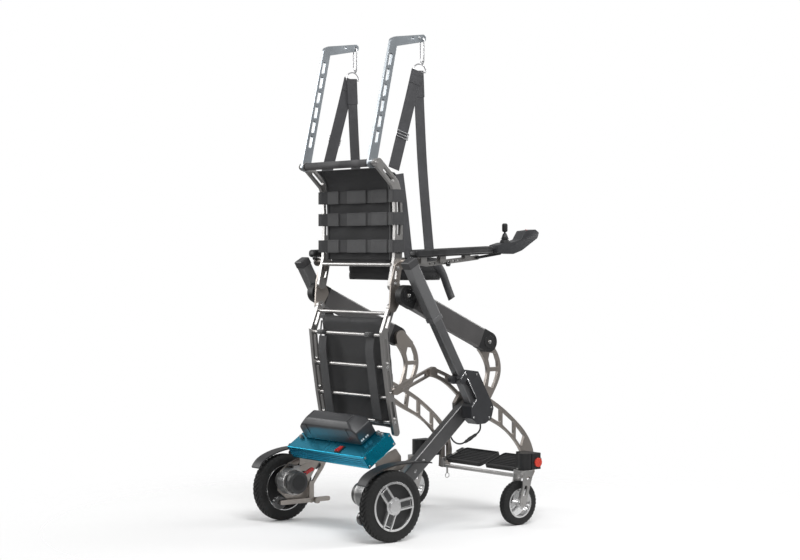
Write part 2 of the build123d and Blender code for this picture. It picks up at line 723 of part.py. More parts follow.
def beam_caps():
    return pair(beam_cap(FRONT_PIVOT, HIP_PIVOT), beam_cap(HIP_PIVOT, FRONT_PIVOT))


# ---------------------------------------------------------------- actuators

def square_tube(span, size, wall):
    outer = strip(actuator_place(span[0]), actuator_place(span[1]), size)
    half = size / 2
    solid = plate(outer, (ACTUATOR_MIDDLE_X - half, ACTUATOR_MIDDLE_X + half))
    solid = fillet(edges_along(solid, ACTUATOR_PIVOT, TRUNNION), 4)
    inner = strip(actuator_place(span[0] - 1), actuator_place(span[1] + 1), size - 2 * wall)
    inner_x = (ACTUATOR_MIDDLE_X - half + wall, ACTUATOR_MIDDLE_X + half - wall)
    return solid - plate(inner, inner_x)


def inner_tube():
    return square_tube(INNER_TUBE_SPAN, INNER_TUBE_SIZE, 2.5)


def lead_screw():
    axis_x = (ACTUATOR_MIDDLE_X - 8, ACTUATOR_MIDDLE_X + 8)
    shape = strip(actuator_place(60), actuator_place(415), 16)
    square = plate(shape, axis_x)
    return fillet(edges_along(square, ACTUATOR_PIVOT, TRUNNION), 7.5)


def outer_tube():
    low, high = OUTER_TUBE_SPAN
    wall = (OUTER_TUBE_SIZE - INNER_TUBE_SIZE) / 2 - TUBE_CLEARANCE
    tube = square_tube((low + COLLAR_LENGTH, high - END_CAP_LENGTH), OUTER_TUBE_SIZE, wall)
    cap_profile = strip(actuator_place(high - END_CAP_LENGTH), actuator_place(high),
                        OUTER_TUBE_SIZE + 1)
    half = OUTER_TUBE_SIZE / 2 + 0.5
    cap = plate(cap_profile, (ACTUATOR_MIDDLE_X - half, ACTUATOR_MIDDLE_X + half))
    cap = chamfer(cap.faces().sort_by(Axis.Z)[-1].edges(), 4)
    collar = square_tube((low, low + COLLAR_LENGTH), OUTER_TUBE_SIZE + 4, wall + 2)
    return [tube, cap, collar]


def motor_housing():
    """Case of the screw motor, with an opening beside the tube and a clamp behind it."""
    case = polygon((310, 588), (341, 624), (404, 615), (478, 484), (482, 470), (470, 430),
                   (440, 414), (402, 412), (372, 436), (368, 482), (398, 512), (352, 588),
                   (324, 566))
    profile = rounded(case, 5)
    solid = plate(profile, HOUSING_X)
    half = INNER_TUBE_SIZE / 2
    tube_x = (ACTUATOR_MIDDLE_X - half, ACTUATOR_MIDDLE_X + half)
    tube_path = strip(actuator_place(INNER_TUBE_SPAN[0]), actuator_place(300), INNER_TUBE_SIZE)
    solid -= plate(tube_path, tube_x)
    solid -= pin(ACTUATOR_PIVOT, PIN_RADIUS + RUNNING, (HOUSING_X[0] - 1, HOUSING_X[0] + 11))
    return solid


def clamp_knob():
    place = actuator_place(155, INNER_TUBE_SIZE / 2 + 17)
    collar = strip(actuator_place(146, INNER_TUBE_SIZE / 2 + 6),
                   actuator_place(164, INNER_TUBE_SIZE / 2 + 6), 12)
    body = plate(collar, (ACTUATOR_MIDDLE_X - 21, ACTUATOR_MIDDLE_X + 21))
    knob = pin(place, 15, (ACTUATOR_MIDDLE_X - 14, ACTUATOR_MIDDLE_X + 6))
    return body + knob


CONNECTOR_ENDS = (CABLE_ROUTE[-1], CABLE_ROUTE_REAR[0])


def cable_run(route):
    """Straight runs joined by the largest arcs that the route allows."""
    radii = []
    for before, corner, after in zip(route[:-2], route[1:-1], route[2:]):
        into = Vector(*corner) - Vector(*before)
        out = Vector(*after) - Vector(*corner)
        half_turn = radians(into.get_angle(out)) / 2
        shorter = min(into.length, out.length)
        radii.append(0.45 * shorter / sin(half_turn) * cos(half_turn))
    print("cable bend radii", [round(radius, 1) for radius in radii])
    path = FilletPolyline(*route, radius=radii)
    start = Plane(origin=route[0], z_dir=Vector(*route[1]) - Vector(*route[0]))
    return sweep(start * Circle(CABLE_RADIUS), path=path)


def actuator_cable():
    return [cable_run(CABLE_ROUTE), cable_run(CABLE_ROUTE_REAR)]


def cable_connector():
    start, end = Vector(*CONNECTOR_ENDS[0]), Vector(*CONNECTOR_ENDS[1])
    axis = Plane(origin=start, z_dir=end - start)
    length = (end - start).length
    solid = extrude(axis * Circle(6), length)
    solid += extrude(axis.offset(length * 0.45) * RegularPolygon(10, 6), length * 0.2)
    return solid


# ---------------------------------------------------------------- backrest


def back_rail():
    profile = chain(BACK_LINE, BACK_RAIL_WIDTH)
    slots = (
        (between(BACK_LINE[0], BACK_LINE[1], 0.35), between(BACK_LINE[0], BACK_LINE[1], 0.85)),
        ((128, 1262), (130, 1222)),
        ((131, 1180), (130, 1140)),
        ((129, 1108), (127, 1070)),
        ((123, 1020), (112, 972)),
    )
    for start, end in slots:
        profile -= capsule(start, end, 15)
    return plate(profile, RAIL_X) - pin(HANGER_PIVOT, 13 + RUNNING, (200, 300))


def back_frame():
    low_tube = plate(disc(BACK_TUBE_PLACE, BACK_TUBE_RADIUS), (-RAIL_X[0], RAIL_X[0]))
    return pair(back_rail()) + [low_tube]


def hip_plate():
    """Plate outside the rails that carries the hip, seat and armrest pins."""
    profile = make_hull(disc((120, 1010), 17).edges() + disc((106, 950), 20).edges())
    profile += make_hull(disc((106, 950), 20).edges() + disc(HIP_PIVOT, 20).edges()
                         + disc(SEAT_PIVOT, 17).edges())
    profile += make_hull(disc((120, 1010), 17).edges() + disc(ARMREST_PIVOT, 15).edges())
    profile -= capsule((112, 992), (107, 955), 14)
    solid = plate(profile, HIP_PLATE_X)
    solid += pin(HIP_PIVOT, PIN_RADIUS, (HIP_PLATE_X[1], LIFT_BEAM_X[1] + 4))
    solid += pin(HIP_PIVOT, 14, (HIP_PLATE_X[1], LIFT_BEAM_X[0] - SIDE_GAP))
    solid += pin(SEAT_PIVOT, 7, (RAIL_X[0] - 2, HIP_PLATE_X[0]))
    solid += pin(ARMREST_PIVOT, 12, (HIP_PLATE_X[1], ARMREST_BRACKET_X[0] - SIDE_GAP))
    solid += pin(ARMREST_PIVOT, PIN_RADIUS, (HIP_PLATE_X[1], ARMREST_BRACKET_X[1] + 3))
    return solid


def back_cushion():
    """Padded back panel between the rails, with a hollow for the low tube behind it."""
    section = polygon((138, 1385), (152, 1385), (162, 1360), (164, 1060), (156, 1016),
                      (134, 1012), (126, 1040), (126, 1300), (132, 1345))
    return fillet(plate(rounded(section, 6), (-205, 205)).edges().filter_by(Axis.Z), 4)


def back_shell():
    """Stiff fabric shell behind the pad, stretched between the rails."""
    section = polygon((70, 1383), (100, 1352), (114, 1322), (118, 1040), (123, 1040), (123, 1330),
                      (112, 1360), (76, 1390))
    return plate(section, (-200, 200))


def back_bands():
    """Three elastic bands behind the back panel, each looped round both rails."""
    outer_x = RAIL_X[1] + 3.4
    rear, front = BAND_LOOP
    outline = Pos(0, rear + BAND_THICKNESS / 2) * Rectangle(2 * outer_x, BAND_THICKNESS)
    for side in (1, -1):
        middle = side * (outer_x - BAND_THICKNESS / 2)
        outline += Pos(middle, (rear + front) / 2) * Rectangle(BAND_THICKNESS, front - rear)
        inner = side * (outer_x - BAND_RETURN / 2)
        outline += Pos(inner, front - BAND_THICKNESS / 2) * Rectangle(BAND_RETURN, BAND_THICKNESS)
    bands = []
    for height in BACK_BAND_HEIGHTS:
        bands.append(extrude(Plane.XY.offset(height - BAND_WIDTH / 2) * outline, BAND_WIDTH))
    return bands


# ---------------------------------------------------------------- hanger arms


def hanger_arm():
    """Flat bent plate, slotted along its upright, with two holes in its top bar."""
    upright = make_hull(disc(HANGER_LINE[0], 20).edges() + disc((119, 1862), 17).edges())
    bar = make_hull(disc((119, 1862), 17).edges() + disc((131, 1870), 14).edges()
                    + disc(HANGER_TIP_HOLE, 14).edges())
    profile = upright + bar
    for number in range(6):
        low = 0.17 + 0.125 * number
        start = between(HANGER_LINE[0], HANGER_LINE[1], low)
        end = between(HANGER_LINE[0], HANGER_LINE[1], low + 0.075)
        profile -= capsule(start, end, 13)
    for place in (HANGER_TIP_HOLE, SPARE_HOLE):
        profile -= disc(place, SPARE_HOLE_RADIUS)
    return plate(profile, HANGER_X) - pin(HANGER_PIVOT, HANDLE_RADIUS, (100, 300))


def push_handle():
    """Handle tube through both hanger arms; its ends turn in the back rails."""
    tube = plate(disc(HANGER_PIVOT, HANDLE_RADIUS) - disc(HANGER_PIVOT, HANDLE_RADIUS - 2.5),
                 (-RAIL_X[1], RAIL_X[1]))
    end_cap = pin(HANGER_PIVOT, 15, (RAIL_X[1] + 0.4, RAIL_X[1] + 6))
    plug = pin(HANGER_PIVOT, HANDLE_RADIUS - 2.5, (RAIL_X[1] - 20, RAIL_X[1] + 1))
    end = end_cap + plug
    return [tube] + pair(end)


# ---------------------------------------------------------------- harness


def snap_clip():
    """Oval spring clip hooked through the hanger's tip hole."""
    wire = 2.6
    half_width = 11.0
    low = RING_TOP - 1
    high = CLIP_TOP
    forward = HANGER_TIP_HOLE[0]
    face = Plane(origin=(STRAP_X, forward, 0), x_dir=(1, 0, 0), z_dir=(0, -1, 0))
    oval = Polyline((-half_width, low + 14), (-half_width, high - 9), (9 - half_width, high),
                    (half_width - 9, high), (half_width, high - 9), (half_width, low + 14),
                    (5, low), (-5, low), (-half_width, low + 14))
    path = face * oval
    start = Plane(origin=path @ 0, z_dir=path % 0)
    return sweep(start * Circle(wire), path=path, transition=Transition.ROUND)


D_RING_MIDDLE = HANGER_TIP_HOLE[0] - 14.0


def d_ring():
    """D-shaped ring in the side plane, its flat bar at the bottom."""
    top = RING_TOP - 3
    bar = top - D_RING_HEIGHT
    rear = (D_RING_MIDDLE - D_RING_HALF_WIDTH, bar)
    front = (D_RING_MIDDLE + D_RING_HALF_WIDTH, bar)
    outline = ThreePointArc(rear, (D_RING_MIDDLE, top), front) + Line(front, rear)
    solid = Part()
    for edge in (Plane.YZ.offset(STRAP_X) * outline).edges():
        start = Plane(origin=edge @ 0, z_dir=edge % 0)
        solid += sweep(start * Circle(D_RING_WIRE), path=edge)
        solid += Pos(*(edge @ 0)) * Sphere(D_RING_WIRE)
    return solid


def strap(start, end, width, across, thickness=2.6):
    return plate(strip(start, end, width), (across - thickness / 2, across + thickness / 2))


def shoulder_straps():
    """Rear and front webbing legs that hang from each D-ring."""
    rear = strap(REAR_STRAP_TOP, REAR_STRAP_END, 52, STRAP_X + 1.5)
    front = strap(FRONT_STRAP_TOP, FRONT_STRAP_KNEE, 46, STRAP_X - 1.5)
    lower = strap(FRONT_STRAP_KNEE, FRONT_STRAP_END, 44, STRAP_X - 1.5)
    front = front + lower + plate(disc(FRONT_STRAP_KNEE, 22), (STRAP_X - 2.8, STRAP_X - 0.2))
    back = plate(chain([(150, 1366), (172, 1230), (196, 1048)], 40), (STRAP_X - 2.8, STRAP_X - 0.2))
    return pair(rear + front + back)


def tri_glide():
    place = between(REAR_STRAP_TOP, REAR_STRAP_END, 0.65)
    angle = slope_of(REAR_STRAP_TOP, REAR_STRAP_END)
    frame = Rectangle(24, 60) - Pos(6, 0) * Rectangle(5, 51) - Pos(-6, 0) * Rectangle(5, 51)
    profile = Pos(*place) * Rot(Z=angle) * frame
    return plate(profile, (STRAP_X + 3, STRAP_X + 6.5))


def harness_clips():
    return pair(snap_clip(), d_ring(), tri_glide())


def belt_loop():
    """Waist belt: an oval band standing round the wearer's hips."""
    outline = Pos(0, BELT_MIDDLE) * RectangleRounded(416, 226, 96)
    inner = Pos(0, BELT_MIDDLE) * RectangleRounded(404, 214, 90)
    return extrude(Plane.XY.offset(BELT_LOW) * (outline - inner), BELT_HIGH - BELT_LOW)


def belt_tail():
    profile = chain([(340, 1024), (366, 990), (386, 945), (412, 898)], 30)
    return plate(profile, (206.5, 209.5))


def harness_vest():
    return [belt_loop(), belt_tail()]


# ---------------------------------------------------------------- seat


def seat_rail():
    profile = chain(SEAT_LINE, SEAT_RAIL_WIDTH) + disc(SEAT_PIVOT, 16)
    profile += disc(LINK_SEAT_PIVOT, 14)
    for first, second, low, high in ((0, 1, 0.22, 0.78), (1, 2, 0.2, 0.86), (2, 3, 0.16, 0.8),
                                     (3, 4, 0.2, 0.8)):
        start = between(SEAT_LINE[first], SEAT_LINE[second], low)
        end = between(SEAT_LINE[first], SEAT_LINE[second], high)
        profile -= capsule(start, end, 11)
    solid = plate(profile, RAIL_X)
    solid += pin(LINK_SEAT_PIVOT, PIN_RADIUS, (RAIL_X[1], SEAT_LINK_X[0] - 0.4))
    return solid - pin(SEAT_PIVOT, 7 + RUNNING, (200, 300))


def seat_frame():
    """Slotted rails joined by five round bars."""
    bars = [pin(place, SEAT_BAR_RADIUS, (-RAIL_X[0], RAIL_X[0])) for place in SEAT_BAR_PLACES]
    return pair(seat_rail()) + bars


def seat_cushion():
    gap = SEAT_BAR_RADIUS + 1
    thickness = 36.0
    rear = [(78 + gap, 826), (60 + gap + 2, 756), (74 + gap + 2, 636), (92 + gap + 2, 519),
            (110 + gap + 2, 425), (116 + gap, 392)]
    front = [(place[0] + thickness, place[1] + 6) for place in reversed(rear)]
    return plate(rounded(polygon(*rear, *front), 8), (-204, 204))


def seat_straps():
    """Two elastic webbing straps that loop the bars behind the cushion."""
    straps = []
    for across in (-156, 148):
        rear = chain([(48, 758), (62, 636), (80, 519), (98, 425)], 2.6)
        straps.append(plate(rear, (across - 25, across + 25)))
    return straps


def seat_link():
    """Slotted bar that pulls the seat level as the lift comes down."""
    profile = capsule(LINK_PIVOT, LINK_SEAT_PIVOT, 30)
    start, end = inset(LINK_PIVOT, LINK_SEAT_PIVOT, 34)
    profile -= capsule(start, end, 12)
    solid = plate(profile, SEAT_LINK_X)
    return solid - pin(LINK_PIVOT, PIN_RADIUS + RUNNING, (200, 300))


# ---------------------------------------------------------------- armrests


def pad_underside(forward):
    share = (forward - PAD_REAR) / (PAD_FRONT - PAD_REAR)
    return PAD_UNDERSIDE[0] + (PAD_UNDERSIDE[1] - PAD_UNDERSIDE[0]) * share


def armrest_bracket():
    """Perforated bar under the pad, on posts, turning on the armrest pin."""
    line = [ARMREST_PIVOT, (200, 1024), (370, 1040), (452, 1049)]
    profile = chain(line, 18) + disc(ARMREST_PIVOT, 17)
    for number in range(7):
        profile -= disc(between(line[1], line[2], 0.08 + 0.14 * number), 4.5)
    solid = plate(profile, ARMREST_BRACKET_X)
    for forward, height in ((176, 1026), (270, 1031), (392, 1044)):
        rear, front = forward - 14, forward + 14
        post = polygon((rear, height), (front, height), (front, pad_underside(front)),
                       (rear, pad_underside(rear)))
        solid += plate(post, (ARMREST_BRACKET_X[0] - 2, ARMREST_BRACKET_X[1] + 12))
    return solid - pin(ARMREST_PIVOT, PIN_RADIUS + RUNNING, (250, 350))


def armrest_pad():
    corners = [(PAD_REAR, PAD_UNDERSIDE[0]), (PAD_FRONT, PAD_UNDERSIDE[1]),
               (PAD_FRONT, PAD_UNDERSIDE[1] + PAD_THICKNESS),
               (PAD_REAR, PAD_UNDERSIDE[0] + PAD_THICKNESS)]
    return plate(rounded(polygon(*corners), 12), PAD_X)


def joystick_box():
    """Wedge-shaped controller in front of the right armrest pad."""
    outline = polygon((516, 1066), (600, 1062), (645, 1076), (726, 1124), (735, 1146), (716, 1158),
                      (664, 1152), (640, 1118), (600, 1108), (560, 1106), (520, 1096))
    solid = plate(rounded(outline, 5), CONTROLLER_X)
    solid -= Pos(JOYSTICK_X, JOYSTICK_PIVOT[0], JOYSTICK_PIVOT[1]) * Sphere(BOOT_RADIUS + 0.6)
    support = plate(capsule((446, 1048), (562, 1064), 10), (ARMREST_BRACKET_X[1], 324))
    return solid + support


def joystick_boot():
    """Domed gimbal ring that carries the stick and tilts from side to side."""
    dome = Sphere(BOOT_RADIUS) - Pos(0, 0, -20) * Box(60, 60, 30)
    dome -= Sphere(BOOT_RADIUS - 4)
    dome -= Pos(0, 0, 20) * Box(STEM_SLOT[0], STEM_SLOT[1], 30)
    return Pos(JOYSTICK_X, *JOYSTICK_PIVOT) * dome


def joystick_stick():
    stem = Pos(0, 0, 24) * Cylinder(4, 60)
    knob = Pos(0, 0, 60) * Cylinder(11, 34)
    knob = fillet(knob.edges(), 7)
    skirt = Pos(0, 0, 30) * Cone(13, 7, 16)
    return Pos(JOYSTICK_X, *JOYSTICK_PIVOT) * (stem + knob + skirt)


# ---------------------------------------------------------------- all nodes

def build_nodes():
    nodes = {
        "lower_beams": pair(lower_beam()),
        "frame_brackets": frame_brackets(),
        "side_frames": pair(side_frame()),
        "caster_heads": caster_heads(),
        "side_reflectors": side_reflectors(),
        "footrest_frame": footrest_frame(),
        "strut_rods": pair(strut_rod()),
        "strut_shrouds": pair(strut_shroud()),
        "drive_motors": drive_motors(),
        "fenders": pair(fender()),
        "control_box": control_box(),
        "control_board": control_board(),
        "switch_bezels": switch_bezels(),
        "power_rocker": [power_rocker()],
        "ignition_key": [ignition_key()],
        "battery": [battery()],
        "actuator_cable": actuator_cable(),
        "cable_connector": [cable_connector()],
        "lift_beams": pair(lift_beam()),
        "beam_caps": beam_caps(),
        "actuator_inner_tubes": pair(inner_tube()),
        "lead_screws": pair(lead_screw()),
        "actuator_outer_tubes": pair(*outer_tube()),
        "motor_housings": pair(motor_housing(), clamp_knob()),
        "back_frame": back_frame(),
        "hip_plates": pair(hip_plate()),
        "back_cushion": [back_cushion(), back_shell()],
        "back_bands": back_bands(),
        "hanger_arms": pair(hanger_arm()),
        "push_handle": push_handle(),
        "harness_clips": harness_clips(),
        "shoulder_straps": shoulder_straps(),
        "harness_vest": harness_vest(),
        "seat_frame": seat_frame(),
        "seat_cushion": [seat_cushion()],
        "seat_straps": seat_straps(),
        "seat_links": pair(seat_link()),
        "joystick_box": [joystick_box()],
        "joystick_boot": [joystick_boot()],
        "joystick_stick": [joystick_stick()],
    }
    one_side = {
        "clutch_lever": clutch_lever(),
        "rear_tyre": rear_tyre(),
        "rear_rim": rear_rim(),
        "caster_fork": caster_fork(),
        "caster_tyre": caster_tyre(),
        "caster_rim": caster_rim(),
        "anti_tip_wheel": anti_tip_wheel(),
        "footplate": footplate(),
        "armrest_bracket": armrest_bracket(),
        "armrest_pad": armrest_pad(),
    }
    for name, solid in one_side.items():
        nodes[name + "_right"] = [solid]
        nodes[name + "_left"] = [other_side(solid)]
    return nodes


def main():
    os.makedirs("parts", exist_ok=True)
    for name, solids in build_nodes().items():
        moved = [Pos(0, -FOOTPRINT_CENTRE, 0) * solid for solid in solids]
        export_step(Compound(children=moved), f"parts/{name}.step")


main()
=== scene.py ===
"""Looks of the sit to stand lift: camera, lights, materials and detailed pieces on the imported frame."""
import math

import bmesh
import bpy
from mathutils import Matrix, Vector


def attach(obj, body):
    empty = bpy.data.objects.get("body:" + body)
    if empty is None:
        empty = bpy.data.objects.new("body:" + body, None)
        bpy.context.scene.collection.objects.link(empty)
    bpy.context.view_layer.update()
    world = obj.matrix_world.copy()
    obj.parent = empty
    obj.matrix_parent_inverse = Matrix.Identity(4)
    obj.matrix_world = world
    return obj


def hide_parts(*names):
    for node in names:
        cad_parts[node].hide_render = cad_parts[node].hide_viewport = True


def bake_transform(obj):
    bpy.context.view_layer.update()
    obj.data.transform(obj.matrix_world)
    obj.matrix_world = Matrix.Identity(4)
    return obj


# ---- the frame's own measures, in millimetres: forward from the rear axle and up from the ground ----
FOOTPRINT_CENTRE = 367.2
REAR_AXLE = (0.0, 133.0)
CASTER_AXLE = (648.0, 87.0)
FRONT_PIVOT = (527.0, 720.0)
HIP_PIVOT = (125.0, 907.0)
SEAT_PIVOT = (97.0, 859.0)
LINK_PIVOT = (277.0, 613.0)
LINK_SEAT_PIVOT = (108.0, 546.0)
ACTUATOR_PIVOT = (415.0, 468.0)
ARMREST_PIVOT = (146.0, 1030.0)
HANGER_PIVOT = (17.0, 1404.0)
HANGER_TIP_HOLE = (261.0, 1886.0)
MOTOR_AXIS = (-26.0, 166.0)
JOYSTICK_PIVOT = (578.0, 1104.0)
JOYSTICK_X = 332.0
BOX_REAR_TOP = (-50.0, 306.0)
BOX_SLOPE = 33.8
ACTUATOR_TILT = 29.8
SIDES = {"right": 1, "left": -1}
SEAT_BARS = ((60, 756), (74, 636), (92, 519), (110, 425))
BAND_HEIGHTS = (1282, 1196, 1092)
BELT_LOW, BELT_HIGH, BELT_MIDDLE = 963, 1046, 292
D_RING_MIDDLE = (247, 1757)
REAR_STRAP = ((234, 1754), (121, 1384))
CAP_FACE, HOUSING_FACE = 300, 376
STRAP_X, WEBBING_X = 213, 211.5
WHEEL_FACE = 371.5
FOOTPLATE_HINGE = (750, 199)
FOOTPLATE_SLOPE = 19.0

# ---- tyres: middle across in millimetres, then width, outer and inner radius in metres,
# ---- number of tread lugs and depth of the tread ----
REAR_TYRE = (347.75, 0.047, 0.133, 0.092, 45, 0.0036)
CASTER_TYRE = (332, 0.0335, 0.087, 0.058, 36, 0.0024)
TYRE_STEPS, TYRE_ROWS = 360, 29
TYRE_SHOULDER = 0.30
TYRE_CROWN = 0.0015
LUG_SHARE = 0.36
SPOKES = 3
SPOKE_START = 7

# ---- soft pieces ----
PAD_HALF_WIDTH = 200
PAD_PRESSURE = 3.0
CLOTH_FRAMES = 15
BELT_ROWS = 25
BELT_CHANNELS = 3
CABLE_ROUTE = [
    (344, 441, 412.6), (344, 444, 398), (344, 438, 382), (342, 424, 371), (336, 371, 343),
    (332, 354, 337), (324, 338, 340), (311, 329, 352), (306, 325, 366),
]
CABLE_RADIUS = 0.0032
CONNECTOR_STEPS = (
    (0.0, 0.12, 0.0048), (0.1, 0.46, 0.0062), (0.44, 0.52, 0.0074), (0.51, 0.58, 0.0066),
    (0.57, 0.66, 0.0074), (0.65, 0.9, 0.0062), (0.88, 1.0, 0.0048),
)

# ---- studio ----
CAMERA_PLACE = (5.5216, -4.0591, 1.0750)
CAMERA_HEADING = (-0.7834, 0.6215, 0.0)
CAMERA_PITCH = 0.941
CAMERA_LENS, CAMERA_SENSOR = 80.42, 36.0
SKY_STRENGTH = 0.62
FLOOR_HALF = 4.0
FLOOR_FADE = (0.5, 1.9)

ACROSS = Vector((1, 0, 0))
UP = Vector((0, 0, 1))


# ---------------------------------------------------------------- places

def spot(across, forward, up):
    """A place given in millimetres, in the row frame in metres."""
    return Vector((across / 1000, (forward - FOOTPRINT_CENTRE) / 1000, up / 1000))


def side_line(across, *places):
    """Places in one side plane, each given as forward and up."""
    return [spot(across, *place) for place in places]


def around(centre, across, radius, angle):
    """A place on a circle about an axle through centre, shifted across; all in metres."""
    return centre + Vector((across, radius * math.cos(angle), radius * math.sin(angle)))


def box_spot(across, along_slope, above):
    """A place on the control box's sloping top."""
    turn = math.radians(BOX_SLOPE)
    forward = BOX_REAR_TOP[0] + along_slope * math.cos(turn) - above * math.sin(turn)
    up = BOX_REAR_TOP[1] + along_slope * math.sin(turn) + above * math.cos(turn)
    return spot(across, forward, up)


def actuator_spot(across, along_axis):
    """A place on the actuator's sloping axis."""
    turn = math.radians(ACTUATOR_TILT)
    forward = ACTUATOR_PIVOT[0] - along_axis * math.sin(turn)
    up = ACTUATOR_PIVOT[1] + along_axis * math.cos(turn)
    return spot(across, forward, up)


# ---------------------------------------------------------------- materials

def node_setup(name, colour, roughness, metallic=0.0):
    material = bpy.data.materials.new(name)
    material.use_nodes = True
    tree = material.node_tree
    shader = tree.nodes["Principled BSDF"]
    shader.inputs["Base Color"].default_value = (*colour, 1.0)
    shader.inputs["Roughness"].default_value = roughness
    shader.inputs["Metallic"].default_value = metallic
    material.diffuse_color = (*colour, 1.0)
    return material, tree, shader


def object_coordinates(tree, stretch=(1.0, 1.0, 1.0)):
    coordinates = tree.nodes.new("ShaderNodeTexCoord")
    mapping = tree.nodes.new("ShaderNodeMapping")
    mapping.inputs["Scale"].default_value = stretch
    tree.links.new(coordinates.outputs["Object"], mapping.inputs["Vector"])
    return mapping.outputs["Vector"]


def noise(tree, vector, scale, detail=3.0):
    texture = tree.nodes.new("ShaderNodeTexNoise")
    texture.inputs["Scale"].default_value = scale
    texture.inputs["Detail"].default_value = detail
    tree.links.new(vector, texture.inputs["Vector"])
    return texture.outputs["Fac"]


def spread(tree, value, low, high):
    """Maps a 0.3 to 0.7 texture value onto a range."""
    node = tree.nodes.new("ShaderNodeMapRange")
    node.inputs["From Min"].default_value = 0.3
    node.inputs["From Max"].default_value = 0.7
    node.inputs["To Min"].default_value = low
    node.inputs["To Max"].default_value = high
    tree.links.new(value, node.inputs["Value"])
    return node.outputs["Result"]


def two_tones(tree, shader, factor, first, second):
    mix = tree.nodes.new("ShaderNodeMix")
    mix.data_type = "RGBA"
    mix.inputs["A"].default_value = (*first, 1.0)
    mix.inputs["B"].default_value = (*second, 1.0)
    tree.links.new(factor, mix.inputs["Factor"])
    tree.links.new(mix.outputs["Result"], shader.inputs["Base Color"])


def combine(tree, operation, first, second):
    node = tree.nodes.new("ShaderNodeMath")
    node.operation = operation
    for socket, value in zip(node.inputs, (first, second)):
        if isinstance(value, (int, float)):
            socket.default_value = value
        else:
            tree.links.new(value, socket)
    return node.outputs["Value"]


def relief(tree, shader, height, strength, depth):
    node = tree.nodes.new("ShaderNodeBump")
    node.inputs["Strength"].default_value = strength
    node.inputs["Distance"].default_value = depth
    tree.links.new(height, node.inputs["Height"])
    tree.links.new(node.outputs["Normal"], shader.inputs["Normal"])
    return node


def soft_edges(tree, bump, radius):
    """Rounds the look of sharp machined edges so that they catch the light."""
    bevel = tree.nodes.new("ShaderNodeBevel")
    bevel.samples = 4
    bevel.inputs["Radius"].default_value = radius
    tree.links.new(bevel.outputs["Normal"], bump.inputs["Normal"])


def shade(colour, factor):
    return tuple(min(1.0, channel * factor) for channel in colour)


def metal(name, colour, roughness=0.32, brushed=0.25):
    """Anodised or polished metal with fine grain and slightly uneven gloss."""
    material, tree, shader = node_setup(name, colour, roughness, metallic=0.9)
    vector = object_coordinates(tree)
    blotches = noise(tree, vector, 18.0)
    two_tones(tree, shader, spread(tree, blotches, 0.0, 1.0), shade(colour, 0.95), shade(colour, 1.04))
    grain = noise(tree, object_coordinates(tree, (900.0, 900.0, 120.0)), 1.0, 2.0)
    tree.links.new(spread(tree, noise(tree, vector, 14.0), roughness - 0.03, roughness + 0.04),
                   shader.inputs["Roughness"])
    soft_edges(tree, relief(tree, shader, grain, brushed, 0.00002), 0.0012)
    return material


def plastic(name, colour, roughness=0.45, grain_scale=1400.0, grain_strength=0.25, coat=0.0):
    """Moulded plastic or painted case with a fine spark-eroded grain and handling marks."""
    material, tree, shader = node_setup(name, colour, roughness)
    shader.inputs["Coat Weight"].default_value = coat
    shader.inputs["Coat Roughness"].default_value = 0.12
    vector = object_coordinates(tree)
    marks = noise(tree, vector, 35.0, 5.0)
    two_tones(tree, shader, spread(tree, marks, 0.0, 1.0), shade(colour, 0.93), shade(colour, 1.08))
    tree.links.new(spread(tree, marks, roughness - 0.02, roughness + 0.04), shader.inputs["Roughness"])
    grain = noise(tree, vector, grain_scale, 2.0)
    soft_edges(tree, relief(tree, shader, grain, grain_strength, 0.0002), 0.0015)
    return material


def rubber(name, colour, roughness=0.75):
    material, tree, shader = node_setup(name, colour, roughness)
    shader.inputs["Specular IOR Level"].default_value = 0.35
    vector = object_coordinates(tree)
    dust = noise(tree, vector, 24.0, 6.0)
    two_tones(tree, shader, spread(tree, dust, 0.0, 1.0), shade(colour, 0.75), shade(colour, 1.6))
    tree.links.new(spread(tree, dust, roughness - 0.12, roughness + 0.12), shader.inputs["Roughness"])
    relief(tree, shader, noise(tree, vector, 700.0, 4.0), 0.4, 0.0003)
    return material


def wave(tree, vector, direction, scale):
    texture = tree.nodes.new("ShaderNodeTexWave")
    texture.wave_type = "BANDS"
    texture.bands_direction = direction
    texture.inputs["Scale"].default_value = scale
    texture.inputs["Distortion"].default_value = 0.3
    tree.links.new(vector, texture.inputs["Vector"])
    return texture.outputs["Fac"]


def cloth(name, colour, directions=("X", "Z"), threads=330.0, roughness=0.85, sheen=0.25):
    """Woven fabric: two crossing thread directions, faded patches and a soft sheen."""
    material, tree, shader = node_setup(name, colour, roughness)
    shader.inputs["Sheen Weight"].default_value = sheen
    shader.inputs["Sheen Roughness"].default_value = 0.4
    vector = object_coordinates(tree)
    first = wave(tree, vector, directions[0], threads)
    second = wave(tree, vector, directions[1], threads)
    weave = combine(tree, "MULTIPLY", first, second)
    fade = noise(tree, vector, 9.0, 6.0)
    tone = combine(tree, "ADD", combine(tree, "MULTIPLY", weave, 0.5), spread(tree, fade, 0.0, 0.5))
    two_tones(tree, shader, tone, shade(colour, 0.6), shade(colour, 1.5))
    relief(tree, shader, weave, 0.6, 0.0006)
    return material


def webbing(name, colour, direction, roughness=0.7):
    """Flat woven strap with ribs across its width."""
    material, tree, shader = node_setup(name, colour, roughness)
    shader.inputs["Sheen Weight"].default_value = 0.3
    vector = object_coordinates(tree)
    ribs = wave(tree, vector, direction, 150.0)
    cross = wave(tree, vector, "DIAGONAL", 420.0)
    pattern = combine(tree, "ADD", combine(tree, "MULTIPLY", ribs, 0.7),
                      combine(tree, "MULTIPLY", cross, 0.3))
    fade = noise(tree, vector, 14.0, 5.0)
    tone = combine(tree, "ADD", combine(tree, "MULTIPLY", pattern, 0.4), spread(tree, fade, 0.0, 0.6))
    two_tones(tree, shader, tone, shade(colour, 0.65), shade(colour, 1.5))
    relief(tree, shader, pattern, 0.7, 0.0006)
    return material


